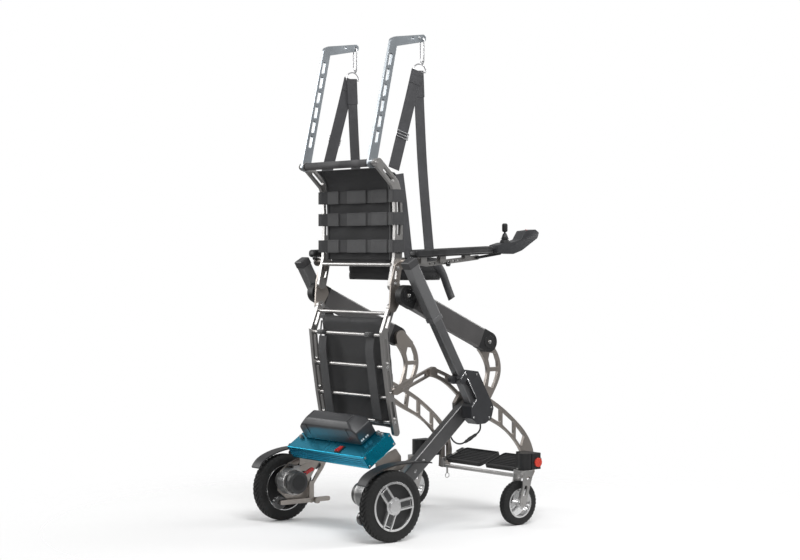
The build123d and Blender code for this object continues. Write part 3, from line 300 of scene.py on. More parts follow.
def split_material(name, direction, limit, below, above, roughness=(0.4, 0.35), metallic=(0.0, 0.0)):
    """One material of two finishes, changing where a direction's distance passes a limit."""
    material, tree, shader = node_setup(name, above, roughness[1])
    coordinates = tree.nodes.new("ShaderNodeTexCoord")
    dot = tree.nodes.new("ShaderNodeVectorMath")
    dot.operation = "DOT_PRODUCT"
    dot.inputs[1].default_value = direction
    tree.links.new(coordinates.outputs["Object"], dot.inputs[0])
    distance = dot.outputs["Value"]
    if direction[1] == 0 and direction[2] == 0:
        distance = combine(tree, "ABSOLUTE", distance, 0.0)
    factor = combine(tree, "GREATER_THAN", distance, limit)
    two_tones(tree, shader, factor, below, above)
    for socket, pair in (("Roughness", roughness), ("Metallic", metallic)):
        mixed = tree.nodes.new("ShaderNodeMapRange")
        mixed.inputs["To Min"].default_value = pair[0]
        mixed.inputs["To Max"].default_value = pair[1]
        tree.links.new(factor, mixed.inputs["Value"])
        tree.links.new(mixed.outputs["Result"], shader.inputs[socket])
    grain = noise(tree, object_coordinates(tree), 900.0, 2.0)
    soft_edges(tree, relief(tree, shader, grain, 0.2, 0.0002), 0.0012)
    return material


def make_materials():
    black = (0.018, 0.018, 0.019)
    axis = math.radians(ACTUATOR_TILT)
    up_tube = (0.0, -math.sin(axis), math.cos(axis))
    cap_start = actuator_spot(0, 659 - 29)
    cap_limit = cap_start.y * up_tube[1] + cap_start.z * up_tube[2]
    return {
        "titanium": metal("titanium_satin", (0.40, 0.365, 0.335), 0.36),
        "beam": metal("beam_titanium", (0.185, 0.18, 0.18), 0.40),
        "lower_beam": metal("lower_beam_satin", (0.17, 0.17, 0.172), 0.38),
        "silver": metal("silver_satin", (0.43, 0.42, 0.41), 0.32),
        "bright": metal("bright_silver", (0.60, 0.60, 0.60), 0.2),
        "pale_blue": metal("pale_blue_anodised", (0.42, 0.455, 0.485), 0.30),
        "chrome": metal("polished_steel", (0.70, 0.70, 0.71), 0.12, 0.05),
        "blue_case": metal("teal_anodised", (0.004, 0.30, 0.46), 0.26, 0.04),
        # Darker teal for the control box's rear grooves: painted shade in the grooves.
        "painted_groove_shade": metal("teal_painted_groove_shade", (0.002, 0.09, 0.16), 0.35, 0.04),
        "tube": metal("grey_tube", (0.20, 0.20, 0.205), 0.40),
        "outer_tube": split_material("outer_tube_and_cap", up_tube, cap_limit, (0.24, 0.24, 0.245),
                                     (0.05, 0.05, 0.052), (0.38, 0.42), (0.75, 0.0)),
        "motor": split_material("motor_cap_and_drum", (1.0, 0.0, 0.0), 0.232, (0.03, 0.03, 0.03),
                                (0.34, 0.34, 0.34), (0.35, 0.33), (0.0, 0.9)),
        "shroud": plastic("blue_shroud", (0.02, 0.16, 0.62), 0.2, coat=0.6),
        "case": plastic("dark_grey_case", (0.034, 0.035, 0.038), 0.36, coat=0.0, grain_strength=0.06),
        "black": plastic("matte_black", shade(black, 0.6), 0.48),
        "gloss_black": plastic("gloss_black", (0.02, 0.02, 0.021), 0.22, coat=0.5),
        "fender": plastic("fender_black", (0.014, 0.014, 0.015), 0.42),
        "red": plastic("gloss_red", (0.55, 0.012, 0.012), 0.25, coat=0.5),
        "reflector": plastic("reflector_red", (0.62, 0.05, 0.03), 0.18, coat=0.8),
        "white": plastic("gauge_white", (0.8, 0.8, 0.8), 0.3),
        "board": plastic("circuit_board", (0.01, 0.08, 0.03), 0.4),
        "tyre": rubber("tyre_rubber", (0.009, 0.009, 0.009), 0.62),
        "rubber": rubber("soft_rubber", (0.02, 0.02, 0.021), 0.6),
        "grip": rubber("foam_grip", (0.075, 0.074, 0.076), 0.55),
        "vinyl": rubber("pad_vinyl", (0.022, 0.022, 0.023), 0.45),
        "cushion": cloth("cushion_fabric", (0.036, 0.036, 0.038)),
        "piping": webbing("piping_fabric", (0.03, 0.03, 0.031), "Z"),
        "band": webbing("elastic_band", (0.026, 0.026, 0.028), "X"),
        "patch": webbing("band_patch", (0.048, 0.048, 0.050), "X"),
        "hook": cloth("hook_and_loop", (0.03, 0.03, 0.031), threads=520.0, sheen=0.5),
        "strap": webbing("strap_webbing", (0.032, 0.032, 0.036), "Z"),
        "belt": cloth("belt_fabric", (0.024, 0.024, 0.026)),
        "thread": plastic("stitch_thread", (0.12, 0.12, 0.125), 0.7),
    }


# ---------------------------------------------------------------- mesh helpers

def finish_piece(name, mesh, material, body, smooth=True):
    """A mesh as a visible piece that rides on a body, with one material."""
    piece = bpy.data.objects.new(name, mesh)
    bpy.context.scene.collection.objects.link(piece)
    mesh.materials.append(material)
    for face in mesh.polygons:
        face.use_smooth = smooth
    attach(piece, body)
    return piece


def apply_modifiers(piece):
    graph = bpy.context.evaluated_depsgraph_get()
    mesh = bpy.data.meshes.new_from_object(piece.evaluated_get(graph))
    piece.modifiers.clear()
    piece.data = mesh


def add_bevel(piece, width, segments=3):
    bevel = piece.modifiers.new("edges", "BEVEL")
    bevel.width = width
    bevel.segments = segments
    bevel.limit_method = "ANGLE"
    bevel.angle_limit = math.radians(35)
    bevel.harden_normals = True
    apply_modifiers(piece)


def bevelled_copy(name, node, material, body, width):
    """A detailed twin of a hard CAD piece: same shape, with moulded edges."""
    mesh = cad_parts[node].data.copy()
    mesh.materials.clear()
    work = bmesh.new()
    work.from_mesh(mesh)
    bmesh.ops.remove_doubles(work, verts=work.verts, dist=0.00002)
    bmesh.ops.dissolve_limit(work, angle_limit=math.radians(1.0), verts=work.verts, edges=work.edges)
    work.to_mesh(mesh)
    work.free()
    piece = finish_piece(name, mesh, material, body)
    add_bevel(piece, width)
    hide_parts(node)
    return piece


def add_box(work, centre, size, turn=None):
    """A box in a bmesh, turned by a matrix about its centre."""
    made = bmesh.ops.create_cube(work, size=1.0)
    matrix = Matrix.Translation(centre) @ (turn or Matrix()) @ Matrix.Diagonal((*size, 1.0))
    bmesh.ops.transform(work, matrix=matrix, verts=made["verts"])


def add_rod(work, start, end, radius, sides=24, end_radius=None):
    """A rod between two places, tapered when end_radius is given."""
    axis = end - start
    turn = axis.to_track_quat("Z", "Y").to_matrix().to_4x4()
    matrix = Matrix.Translation((start + end) / 2) @ turn
    bmesh.ops.create_cone(work, cap_ends=True, segments=sides, radius1=radius,
                          radius2=end_radius or radius, depth=axis.length, matrix=matrix)


def built(work, name, material, body, smooth=True):
    """The finished piece of a bmesh."""
    return finish_piece(name, mesh_from(work, name), material, body, smooth)


def mesh_from(work, name):
    mesh = bpy.data.meshes.new(name)
    bmesh.ops.recalc_face_normals(work, faces=work.faces)
    work.to_mesh(mesh)
    work.free()
    return mesh


def add_bolt(work, place, direction, radius):
    """Domed socket-head screw with a washer, standing on a face."""
    direction = Vector(direction).normalized()
    start = place - direction * 0.0004
    add_rod(work, start, place + direction * 0.0012, radius * 1.35)
    add_rod(work, place + direction * 0.0012, place + direction * radius * 0.75, radius,
            end_radius=radius * 0.82)
    add_rod(work, place + direction * radius * 0.7, place + direction * radius * 0.78, radius * 0.5,
            sides=6)


def join_rings(work, rings, closed=True):
    """Faces between each ring of points and the next; a closed row ends where it began."""
    for first, second in zip(rings, rings[1:] + rings[:1] * closed):
        for number in range(len(first)):
            following = (number + 1) % len(first)
            work.faces.new((first[number], first[following], second[following], second[number]))


def bolts(name, body, looks, sign, places, radius):
    """Screws on one side; each place is across, (forward, up) and 1 facing out or -1 facing in."""
    work = bmesh.new()
    for across, place, facing in places:
        add_bolt(work, spot(sign * across, *place), (sign * facing, 0, 0), radius)
    return built(work, name, looks["bright"], body, smooth=False)


def ribbon(work, path, across, width, thickness):
    """A flat strap along a path; across is its width direction at every point."""
    rings = []
    for number, point in enumerate(path):
        before = path[max(0, number - 1)]
        after = path[min(len(path) - 1, number + 1)]
        tangent = (after - before).normalized()
        side = (across - tangent * across.dot(tangent)).normalized()
        normal = tangent.cross(side).normalized()
        ring = []
        for sideways, out in ((-1, -1), (1, -1), (1, 1), (-1, 1)):
            corner = point + side * sideways * width / 2 + normal * out * thickness / 2
            ring.append(work.verts.new(corner))
        rings.append(ring)
    join_rings(work, rings, closed=False)
    work.faces.new(rings[0])
    work.faces.new(list(reversed(rings[-1])))


def smooth_path(corners, steps=8):
    """A rounded line through a few corners, each corner cut by a quadratic arc."""
    points = [corners[0]]
    for before, corner, after in zip(corners, corners[1:], corners[2:]):
        start = (before + corner) / 2
        end = (corner + after) / 2
        for number in range(1, steps + 1):
            share = number / steps
            first = start.lerp(corner, share)
            second = corner.lerp(end, share)
            points.append(first.lerp(second, share))
    points.append(corners[-1])
    return points


def stitches(work, path, across, offset, normal_offset, pitch=0.006):
    """A row of small thread loops along a path."""
    for start, end in zip(path, path[1:]):
        tangent = (end - start).normalized()
        side = (across - tangent * across.dot(tangent)).normalized()
        normal = tangent.cross(side).normalized()
        count = max(1, int((end - start).length / pitch))
        for number in range(count):
            place = start.lerp(end, (number + 0.25) / count)
            place = place + side * offset + normal * normal_offset
            add_rod(work, place, place + tangent * pitch * 0.5, 0.0005, sides=5)


def nurbs_curve(name, points, radius, closed=False):
    """A curve object whose smooth line is drawn towards the given control points."""
    curve = bpy.data.curves.new(name, "CURVE")
    curve.dimensions = "3D"
    spline = curve.splines.new("NURBS")
    spline.points.add(len(points) - 1)
    for control, point in zip(spline.points, points):
        control.co = (*point, 1.0)
    spline.order_u = 3
    spline.use_endpoint_u = not closed
    spline.use_cyclic_u = closed
    spline.resolution_u = 10
    curve.bevel_depth = radius
    curve.bevel_resolution = 5
    curve.use_fill_caps = True
    piece = bpy.data.objects.new(name, curve)
    bpy.context.scene.collection.objects.link(piece)
    return piece


def wire(name, points, radius, material, body):
    """A closed round wire, such as a ring or a spring clip."""
    piece = nurbs_curve(name, points, radius, closed=True)
    piece.data.materials.append(material)
    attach(piece, body)
    return piece


def tube_mesh(name, points, radius, material):
    """A round tube along a NURBS line, as a mesh piece, and the line's own points."""
    line = nurbs_curve(name + "_line", points, 0.0)
    graph = bpy.context.evaluated_depsgraph_get()
    bare = bpy.data.meshes.new_from_object(line.evaluated_get(graph))
    path = [tuple(vertex.co) for vertex in bare.vertices]
    line.data.bevel_depth = radius
    graph.update()
    mesh = bpy.data.meshes.new_from_object(line.evaluated_get(graph))
    bpy.data.objects.remove(line)
    mesh.materials.clear()
    mesh.materials.append(material)
    for face in mesh.polygons:
        face.use_smooth = True
    piece = bpy.data.objects.new(name, mesh)
    bpy.context.scene.collection.objects.link(piece)
    return piece, path


# ---------------------------------------------------------------- camera, lights, floor

def make_camera():
    camera = bpy.data.objects.new("camera", bpy.data.cameras.new("camera"))
    bpy.context.scene.collection.objects.link(camera)
    camera.data.lens = CAMERA_LENS
    camera.data.sensor_width = CAMERA_SENSOR
    across, forward, up = CAMERA_PLACE
    camera.location = Vector((across, forward - FOOTPRINT_CENTRE / 1000, up))
    pitch = math.radians(CAMERA_PITCH)
    heading = Vector(CAMERA_HEADING) * math.cos(pitch) - Vector((0, 0, math.sin(pitch)))
    camera.rotation_euler = heading.to_track_quat("-Z", "Y").to_euler()
    bpy.context.scene.camera = camera


def area_light(name, location, target, size, power):
    light = bpy.data.lights.new(name, "AREA")
    light.shape = "RECTANGLE"
    light.size, light.size_y = size
    light.energy = power
    item = bpy.data.objects.new(name, light)
    item.location = location
    item.rotation_euler = (Vector(target) - Vector(location)).to_track_quat("-Z", "Y").to_euler()
    bpy.context.scene.collection.objects.link(item)


def make_world():
    """White backdrop for the camera, and a dimmer sky, dark below and bright above, as light."""
    world = bpy.data.worlds.new("studio")
    world.use_nodes = True
    tree = world.node_tree
    sky = tree.nodes["Background"]
    sky.inputs["Strength"].default_value = SKY_STRENGTH
    backdrop = tree.nodes.new("ShaderNodeBackground")
    backdrop.inputs["Color"].default_value = (1.0, 1.0, 1.0, 1.0)
    direction = tree.nodes.new("ShaderNodeTexCoord")
    parts = tree.nodes.new("ShaderNodeSeparateXYZ")
    tree.links.new(direction.outputs["Generated"], parts.inputs[0])
    ramp = tree.nodes.new("ShaderNodeMapRange")
    ramp.inputs["From Min"].default_value = -0.3
    ramp.inputs["From Max"].default_value = 0.8
    ramp.inputs["To Min"].default_value = 0.3
    ramp.inputs["To Max"].default_value = 1.0
    tree.links.new(parts.outputs["Z"], ramp.inputs["Value"])
    tree.links.new(ramp.outputs["Result"], sky.inputs["Color"])
    rays = tree.nodes.new("ShaderNodeLightPath")
    choice = tree.nodes.new("ShaderNodeMixShader")
    tree.links.new(rays.outputs["Is Camera Ray"], choice.inputs["Fac"])
    tree.links.new(sky.outputs[0], choice.inputs[1])
    tree.links.new(backdrop.outputs[0], choice.inputs[2])
    tree.links.new(choice.outputs[0], tree.nodes["World Output"].inputs["Surface"])
    bpy.context.scene.world = world
    bpy.context.scene.view_settings.view_transform = "Standard"


def make_floor():
    """A pale floor that fades into the backdrop away from the lift."""
    floor_mesh = bpy.data.meshes.new("floor")
    floor_mesh.from_pydata([(-FLOOR_HALF, -FLOOR_HALF, 0), (FLOOR_HALF, -FLOOR_HALF, 0),
                            (FLOOR_HALF, FLOOR_HALF, 0), (-FLOOR_HALF, FLOOR_HALF, 0)], [], [(0, 1, 2, 3)])
    floor = bpy.data.objects.new("floor", floor_mesh)
    bpy.context.scene.collection.objects.link(floor)
    material, tree, shader = node_setup("pale_floor", (0.95, 0.95, 0.95), 0.7)
    distance = tree.nodes.new("ShaderNodeVectorMath")
    distance.operation = "LENGTH"
    tree.links.new(object_coordinates(tree), distance.inputs[0])
    fade = tree.nodes.new("ShaderNodeMapRange")
    fade.interpolation_type = "SMOOTHSTEP"
    fade.inputs["From Min"].default_value = FLOOR_FADE[0]
    fade.inputs["From Max"].default_value = FLOOR_FADE[1]
    tree.links.new(distance.outputs["Value"], fade.inputs["Value"])
    clear = tree.nodes.new("ShaderNodeBsdfTransparent")
    choice = tree.nodes.new("ShaderNodeMixShader")
    tree.links.new(fade.outputs["Result"], choice.inputs["Fac"])
    tree.links.new(shader.outputs[0], choice.inputs[1])
    tree.links.new(clear.outputs[0], choice.inputs[2])
    tree.links.new(choice.outputs[0], tree.nodes["Material Output"].inputs["Surface"])
    floor_mesh.materials.append(material)


def make_studio():
    make_world()
    area_light("key", (2.6, -1.2, 3.6), (0, 0, 0.9), (1.8, 1.8), 105)
    area_light("left_strip", (-3.4, -2.2, 2.0), (0, 0, 1.0), (0.8, 2.6), 45)
    area_light("front_rim", (1.5, 3.6, 2.6), (0, 0, 0.9), (1.6, 2.4), 70)
    make_floor()


# ---------------------------------------------------------------- cable

def make_cable(looks):
    """The actuator's flexible cable with its in-line connector."""
    points = [spot(*point) for point in CABLE_ROUTE]
    cable, line = tube_mesh("actuator_flex", points, CABLE_RADIUS, looks["rubber"])
    work = bmesh.new()
    start, end = points[3], points[4]
    for low, high, radius in CONNECTOR_STEPS:
        add_rod(work, start.lerp(end, low), start.lerp(end, high), radius)
    connector = built(work, "inline_connector", looks["black"], "chassis", smooth=False)
    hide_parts("actuator_cable")
    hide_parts("cable_connector")
    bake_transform(cable)


# ---------------------------------------------------------------- wheels

def tread_radius(share, angle, outer, inner, lugs, depth):
    """The tyre's radius at a share of its half width, cut where a herringbone groove passes."""
    edge = abs(share)
    if edge < 1 - TYRE_SHOULDER:
        radius = outer - TYRE_CROWN * (edge / (1 - TYRE_SHOULDER)) ** 2
    else:
        bend = (edge - (1 - TYRE_SHOULDER)) / TYRE_SHOULDER
        radius = inner + (outer - TYRE_CROWN - inner) * max(0.0, math.cos(bend * math.pi / 2)) ** 0.55
    lean = (angle * lugs / math.tau + edge * 1.6) % 1.0
    if lean < LUG_SHARE and 0.06 < edge < 0.86:
        radius -= depth
    return radius


def tyre_mesh(name, axle, middle_x, width, outer, inner, lugs, depth):
    """A closed tyre with a herringbone tread on its crown."""
    work = bmesh.new()
    centre = spot(middle_x, *axle)
    grid = []
    for step in range(TYRE_STEPS):
        angle = math.tau * step / TYRE_STEPS
        ring = []
        for row in range(TYRE_ROWS):
            share = 2 * row / (TYRE_ROWS - 1) - 1
            across = share * width / 2 * (1.0 if abs(share) < 0.97 else 0.94)
            radius = tread_radius(share, angle, outer, inner, lugs, depth)
            ring.append(work.verts.new(around(centre, across, radius, angle)))
        for across in (width * 0.44, -width * 0.44):
            ring.append(work.verts.new(around(centre, across, inner, angle)))
        grid.append(ring)
    join_rings(work, grid)
    return mesh_from(work, name)


def make_tyres(looks):
    """Treaded tyres in place of the plain ones."""
    for side, sign in SIDES.items():
        for wheel, axle, (middle, *sizes) in (("rear", REAR_AXLE, REAR_TYRE),
                                              ("caster", CASTER_AXLE, CASTER_TYRE)):
            name = f"{wheel}_tread_{side}"
            mesh = tyre_mesh(name, axle, sign * middle, *sizes)
            piece = finish_piece(name, mesh, looks["tyre"], f"{wheel}_wheel_{side}",
                                 smooth=False)
            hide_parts(f"{wheel}_tyre_{side}")


def make_wheel_details(looks):
    """Paired spokes with black inserts, hub caps and dark backing discs on the rear wheels."""
    for side, sign in SIDES.items():
        centre = spot(sign * WHEEL_FACE, *REAR_AXLE)
        body = f"rear_wheel_{side}"
        work = bmesh.new()
        inserts = bmesh.new()
        for number in range(SPOKES):
            angle = math.radians(SPOKE_START + 360 / SPOKES * number)
            turn = Matrix.Rotation(angle, 4, "X")
            add_box(inserts, around(centre, sign * 0.0004, 0.053, angle), (0.003, 0.044, 0.021), turn)
            normal = Vector((0, -math.sin(angle), math.cos(angle)))
            for offset in (-0.017, 0.017):
                middle = around(centre, sign * 0.001, 0.058, angle) + normal * offset
                add_box(work, middle, (0.004, 0.062, 0.0062), turn)
        hub = spot(sign * (WHEEL_FACE + 4), *REAR_AXLE)
        add_rod(work, hub - ACROSS * sign * 0.002, hub + ACROSS * sign * 0.002, 0.021, sides=40)
        bright = built(work, f"rear_spokes_{side}", looks["bright"], body, smooth=False)
        add_bevel(bright, 0.0008, 2)
        dark = built(inserts, f"rear_inserts_{side}", looks["gloss_black"], body,
                     smooth=False)
        add_bevel(dark, 0.001, 2)
        backing = bmesh.new()
        disc_place = spot(sign * (WHEEL_FACE - 16), *REAR_AXLE)
        add_rod(backing, disc_place, disc_place + ACROSS * sign * 0.003, 0.0875, sides=64)
        built(backing, f"rear_backing_{side}", looks["black"], body, smooth=False)


# ---------------------------------------------------------------- soft pieces

def puffed(piece, inflate, cap, voxel=0.006):
    """Blows the piece up like stuffed foam: remesh, cloth pressure, capped travel."""
    remesh = piece.modifiers.new("remesh", "REMESH")
    remesh.mode = "VOXEL"
    remesh.voxel_size = voxel
    apply_modifiers(piece)
    start = [vertex.co.copy() for vertex in piece.data.vertices]
    fabric = piece.modifiers.new("fabric", "CLOTH")
    fabric.settings.use_pressure = True
    fabric.settings.uniform_pressure_force = inflate
    fabric.settings.effector_weights.gravity = 0.0
    fabric.settings.quality = 5
    scene = bpy.context.scene
    for number in range(1, CLOTH_FRAMES + 1):
        scene.frame_set(number)
    apply_modifiers(piece)
    scene.frame_set(1)
    for vertex, origin in zip(piece.data.vertices, start):
        travel = vertex.co - origin
        if travel.length > cap:
            vertex.co = origin + travel.normalized() * cap


def panel_block(name, corners, half_width, corner_radius, material, body):
    """A flat-sided block with rounded outline seen along its thickness, ready to be puffed."""
    rear, front, low, high = corners
    work = bmesh.new()
    outline = []
    for across_sign, up_sign, begin in ((1, 1, 0), (-1, 1, 90), (-1, -1, 180), (1, -1, 270)):
        for step in range(7):
            angle = math.radians(begin + 15 * step)
            outline.append((across_sign * (half_width - corner_radius) + corner_radius * math.cos(angle),
                            up_sign, corner_radius * math.sin(angle)))
    back_ring, front_ring = [], []
    for across, up_sign, lift in outline:
        edge = high - corner_radius if up_sign > 0 else low + corner_radius
        height = edge + lift
        share = (height - low) / (high - low)
        back_ring.append(work.verts.new(spot(across, rear(share), height)))
        front_ring.append(work.verts.new(spot(across, front(share), height)))
    work.faces.new(back_ring)
    work.faces.new(list(reversed(front_ring)))
    count = len(outline)
    for number in range(count):
        following = (number + 1) % count
        work.faces.new((back_ring[number], front_ring[number], front_ring[following],
                        back_ring[following]))
    return built(work, name, material, body)


def blend_line(places):
    """A function from share of height to forward place, through (share, forward) pairs."""
    def read(share):
        for (low, first), (high, second) in zip(places, places[1:]):
            if share <= high:
                return first + (second - first) * (share - low) / (high - low)
        return places[-1][1]
    return read


def stuffed_pad(name, rear, front, low, high, corner, cap, looks, body):
    """A fabric panel between two side-view lines, puffed up."""
    pad = panel_block(name, (rear, front, low, high), PAD_HALF_WIDTH, corner, looks["cushion"], body)
    work = bmesh.new()
    work.from_mesh(pad.data)
    bmesh.ops.triangulate(work, faces=work.faces)
    work.to_mesh(pad.data)
    work.free()
    puffed(pad, PAD_PRESSURE, cap)
    return pad


def make_back_cushion(looks):
    """Puffed back pad with a bound and stitched fabric shell behind it."""
    rear = blend_line([(0.0, 130), (0.7, 130), (0.9, 136), (1.0, 143)])
    front = blend_line([(0.0, 148), (0.12, 157), (0.85, 156), (1.0, 150)])
    stuffed_pad("back_pad", rear, front, 1018, 1380, 26, 0.007, looks, "backrest")
    shell = bmesh.new()
    path = smooth_path(side_line(0, (68, 1388), (100, 1358), (117, 1322), (121, 1180), (121, 1040)))
    ribbon(shell, path, ACROSS, 0.402, 0.004)
    shell_piece = built(shell, "back_shell", looks["belt"], "backrest")
    add_bevel(shell_piece, 0.0015, 2)
    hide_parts("back_cushion")
    edge = bmesh.new()
    for across in (-0.199, 0.199):
        line = [point + Vector((across, -0.003, 0)) for point in path]
        ribbon(edge, line, ACROSS, 0.014, 0.0022)
        for inset in (-0.0045, 0.0045):
            stitches(edge, line, ACROSS, inset, -0.0012)
    built(edge, "back_shell_binding", looks["piping"], "backrest")


def make_seat_cushion(looks):
    """Puffed seat pad with piping down both of its sides."""
    rear = blend_line([(0.0, 131), (0.1, 125), (0.3, 108), (0.55, 89), (0.82, 74), (1.0, 90)])
    front = blend_line([(0.0, 151), (0.1, 156), (0.3, 141), (0.55, 122), (0.82, 107), (1.0, 114)])
    pad = stuffed_pad("seat_pad", rear, front, 397, 826, 24, 0.006, looks, "seat")
    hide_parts("seat_cushion")
    piping = bmesh.new()
    for across in (-199, 199):
        line = smooth_path(side_line(across, (84, 800), (78, 745), (92, 636), (109, 520), (127, 425)))
        for start, end in zip(line, line[1:]):
            add_rod(piping, start, end + (end - start) * 0.1, 0.003, sides=10)
    built(piping, "seat_piping", looks["piping"], "seat")


def make_back_bands(looks):
    """Elastic bands looped round the rails, with thicker sewn patches behind the panel."""
    base = bmesh.new()
    patches = bmesh.new()
    seams = bmesh.new()
    half_loop = ((218, 153), (239, 152), (239, 125), (238, 98), (215, 99), (196, 112))
    loop = [*half_loop, (0, 113), *((-across, forward) for across, forward in reversed(half_loop))]
    for height in BAND_HEIGHTS:
        ribbon(base, [spot(*place, height) for place in loop], UP, 0.048, 0.0026)
        for first, second in ((-190, -118), (-62, 58), (92, 190)):
            patch = [spot(first, 108.5, height), spot((first + second) / 2, 107.5, height),
                     spot(second, 108.5, height)]
            ribbon(patches, patch, UP, 0.050, 0.004)
            for offset in (-0.021, 0.021):
                for face in (-0.0022, 0.0022):
                    stitches(seams, patch, UP, offset, face, 0.007)
    base_piece = built(base, "elastic_bands", looks["band"], "backrest")
    add_bevel(base_piece, 0.0008, 2)
    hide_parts("back_bands")
    patch_piece = built(patches, "band_patches", looks["patch"], "backrest")
    add_bevel(patch_piece, 0.0012, 2)
    built(seams, "band_stitches", looks["thread"], "backrest")


def make_seat_straps(looks):
    """Upright straps behind the seat with hook-and-loop tabs round each bar."""
    base = bmesh.new()
    tabs = bmesh.new()
    for across in (-156, 148):
        path = side_line(across, (72, 742), (66, 690), (76, 636), (92, 519), (109, 432))
        shifted = [point + Vector((0, -0.012, 0)) for point in smooth_path(path)]
        ribbon(base, shifted, ACROSS, 0.050, 0.0024)
        for forward, up in SEAT_BARS:
            loop = []
            for step in range(13):
                angle = math.radians(-60 + 25 * step)
                loop.append(spot(across, forward + 9.4 * -math.cos(angle), up + 9.4 * math.sin(angle)))
            ribbon(tabs, loop, ACROSS, 0.052, 0.0018)
    base_piece = built(base, "seat_straps_woven", looks["band"], "seat")
    add_bevel(base_piece, 0.0008, 2)
    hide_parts("seat_straps")
    built(tabs, "strap_tabs", looks["hook"], "seat")


def make_harness(looks):
    """Webbing straps from each D-ring, stitched along both edges and folded double at the top."""
    straps = bmesh.new()
    seams = bmesh.new()
    forward_axis = Vector((0, 1, 0.3)).normalized()
    for sign in SIDES.values():
        rear = [spot(sign * 214.5, 234, 1762), spot(sign * 214.6, 205, 1660),
                spot(sign * 214.5, 160, 1512), spot(sign * 214.5, 121, 1384)]
        front = [spot(sign * WEBBING_X, 242, 1762), spot(sign * 211.4, 252, 1560),
                 spot(sign * WEBBING_X, 266, 1350), spot(sign * WEBBING_X, 300, 1048)]
        back = side_line(sign * WEBBING_X, (150, 1366), (172, 1230), (196, 1048))
        for path, width in ((rear, 0.052), (front, 0.046), (back, 0.040)):
            line = smooth_path(path)
            ribbon(straps, line, forward_axis, width, 0.0024)
            for offset in (-width / 2 + 0.004, width / 2 - 0.004):
                for face in (-0.0013, 0.0013):
                    stitches(seams, line, forward_axis, offset, face, 0.007)
        for path in (rear, front):
            fold = [path[0], path[0].lerp(path[1], 0.5)]
            ribbon(straps, fold, forward_axis, 0.050, 0.0052)
    piece = built(straps, "webbing_straps", looks["strap"], "harness")
    add_bevel(piece, 0.0007, 2)
    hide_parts("shoulder_straps")
    built(seams, "strap_stitches", looks["thread"], "harness")


def belt_path(half_width, half_depth, corner, steps=10):
    """A rounded rectangle round the waist, as across and forward pairs."""
    points = []
    for across_sign, forward_sign, begin in ((1, 1, 0), (-1, 1, 90), (-1, -1, 180), (1, -1, 270)):
        for step in range(steps):
            angle = math.radians(begin + 90 * step / (steps - 1))
            points.append((across_sign * (half_width - corner) + corner * math.cos(angle),
                           BELT_MIDDLE + forward_sign * (half_depth - corner) + corner * math.sin(angle)))
    return points


def make_belt(looks):
    """Padded waist belt: quilted channels, bound edges, and the loose webbing tail."""
    path = belt_path(205, 110, 93)
    work = bmesh.new()
    rings = []
    for across, forward in path:
        outward = Vector((across, forward - BELT_MIDDLE, 0)).normalized()
        ring = []
        for face in (1, -1):
            for row in range(BELT_ROWS):
                share = row / (BELT_ROWS - 1)
                if face < 0:
                    share = 1 - share
                channel = abs(math.sin(share * math.pi * BELT_CHANNELS)) ** 0.5
                thickness = 0.0012 + 0.0030 * channel
                height = BELT_LOW + (BELT_HIGH - BELT_LOW) * share
                ring.append(work.verts.new(spot(across, forward, height) + outward * face * thickness))
        rings.append(ring)
    join_rings(work, rings)
    belt = built(work, "waist_belt", looks["belt"], "harness")
    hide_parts("harness_vest")
    binding_and_highlight_rods = bmesh.new()
    closed = path + path[:1]
    for height in (BELT_LOW + 1, BELT_HIGH - 1):
        line = [spot(across, forward, height) for across, forward in closed]
        for start, end in zip(line, line[1:]):
            if (end - start).length > 0.0001:
                add_rod(binding_and_highlight_rods, start, end, 0.0026, sides=8)
    built(binding_and_highlight_rods, "belt_binding", looks["piping"], "harness")
    tail = bmesh.new()
    tail_path = smooth_path([spot(208, 336, 1026), spot(209, 366, 990), spot(208, 386, 945),
                             spot(207, 414, 888)])
    ribbon(tail, tail_path, Vector((0, 1, 0.6)).normalized(), 0.034, 0.0026)
    built(tail, "belt_tail", looks["strap"], "harness")


def make_clips(looks):
    """Spring clips, D-rings and sliders of the harness."""
    for side, sign in SIDES.items():
        across = sign * STRAP_X
        forward = HANGER_TIP_HOLE[0]
        oval = [(-10.5, 1804), (-11, 1878), (-3, 1889.5), (6, 1889), (11, 1878), (10.5, 1804),
                (5, 1790), (-5, 1790)]
        ring = [spot(across + sign * offset, forward, height) for offset, height in oval]
        clip = wire(f"spring_clip_{side}", ring, 0.0027, looks["chrome"], "harness")
        bend = []
        for step in range(9):
            angle = math.radians(180 * step / 8)
            bend.append(spot(across, D_RING_MIDDLE[0] + 33 * math.cos(angle),
                             D_RING_MIDDLE[1] + 31 * math.sin(angle)))
        bend += side_line(across, (225, 1756), (247, 1756), (270, 1756))
        wire(f"d_ring_{side}", bend, 0.0025, looks["chrome"], "harness")
        work = bmesh.new()
        add_rod(work, spot(across, forward, 1800), spot(across, forward, 1786), 0.0052)
        top, end = side_line(sign * 217, *REAR_STRAP)
        slider = top.lerp(end, 0.65)
        fall = end - top
        lean = Matrix.Rotation(math.atan2(fall.z, fall.y) + math.pi, 4, "X")
        for along in (-11, 0, 11):
            centre = slider + (lean @ Vector((0, along / 1000, 0)))
            add_box(work, centre, (0.0034, 0.0034, 0.060), lean)
        for edge in (-29, 29):
            centre = slider + (lean @ Vector((0, 0, edge / 1000)))
            add_box(work, centre, (0.0034, 0.026, 0.0034), lean)
        metal_parts = built(work, f"strap_slider_{side}", looks["chrome"], "harness",
                            smooth=False)
        if sign > 0:
            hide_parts("harness_clips")
        add_bevel(metal_parts, 0.0006, 2)


# ---------------------------------------------------------------- hard details

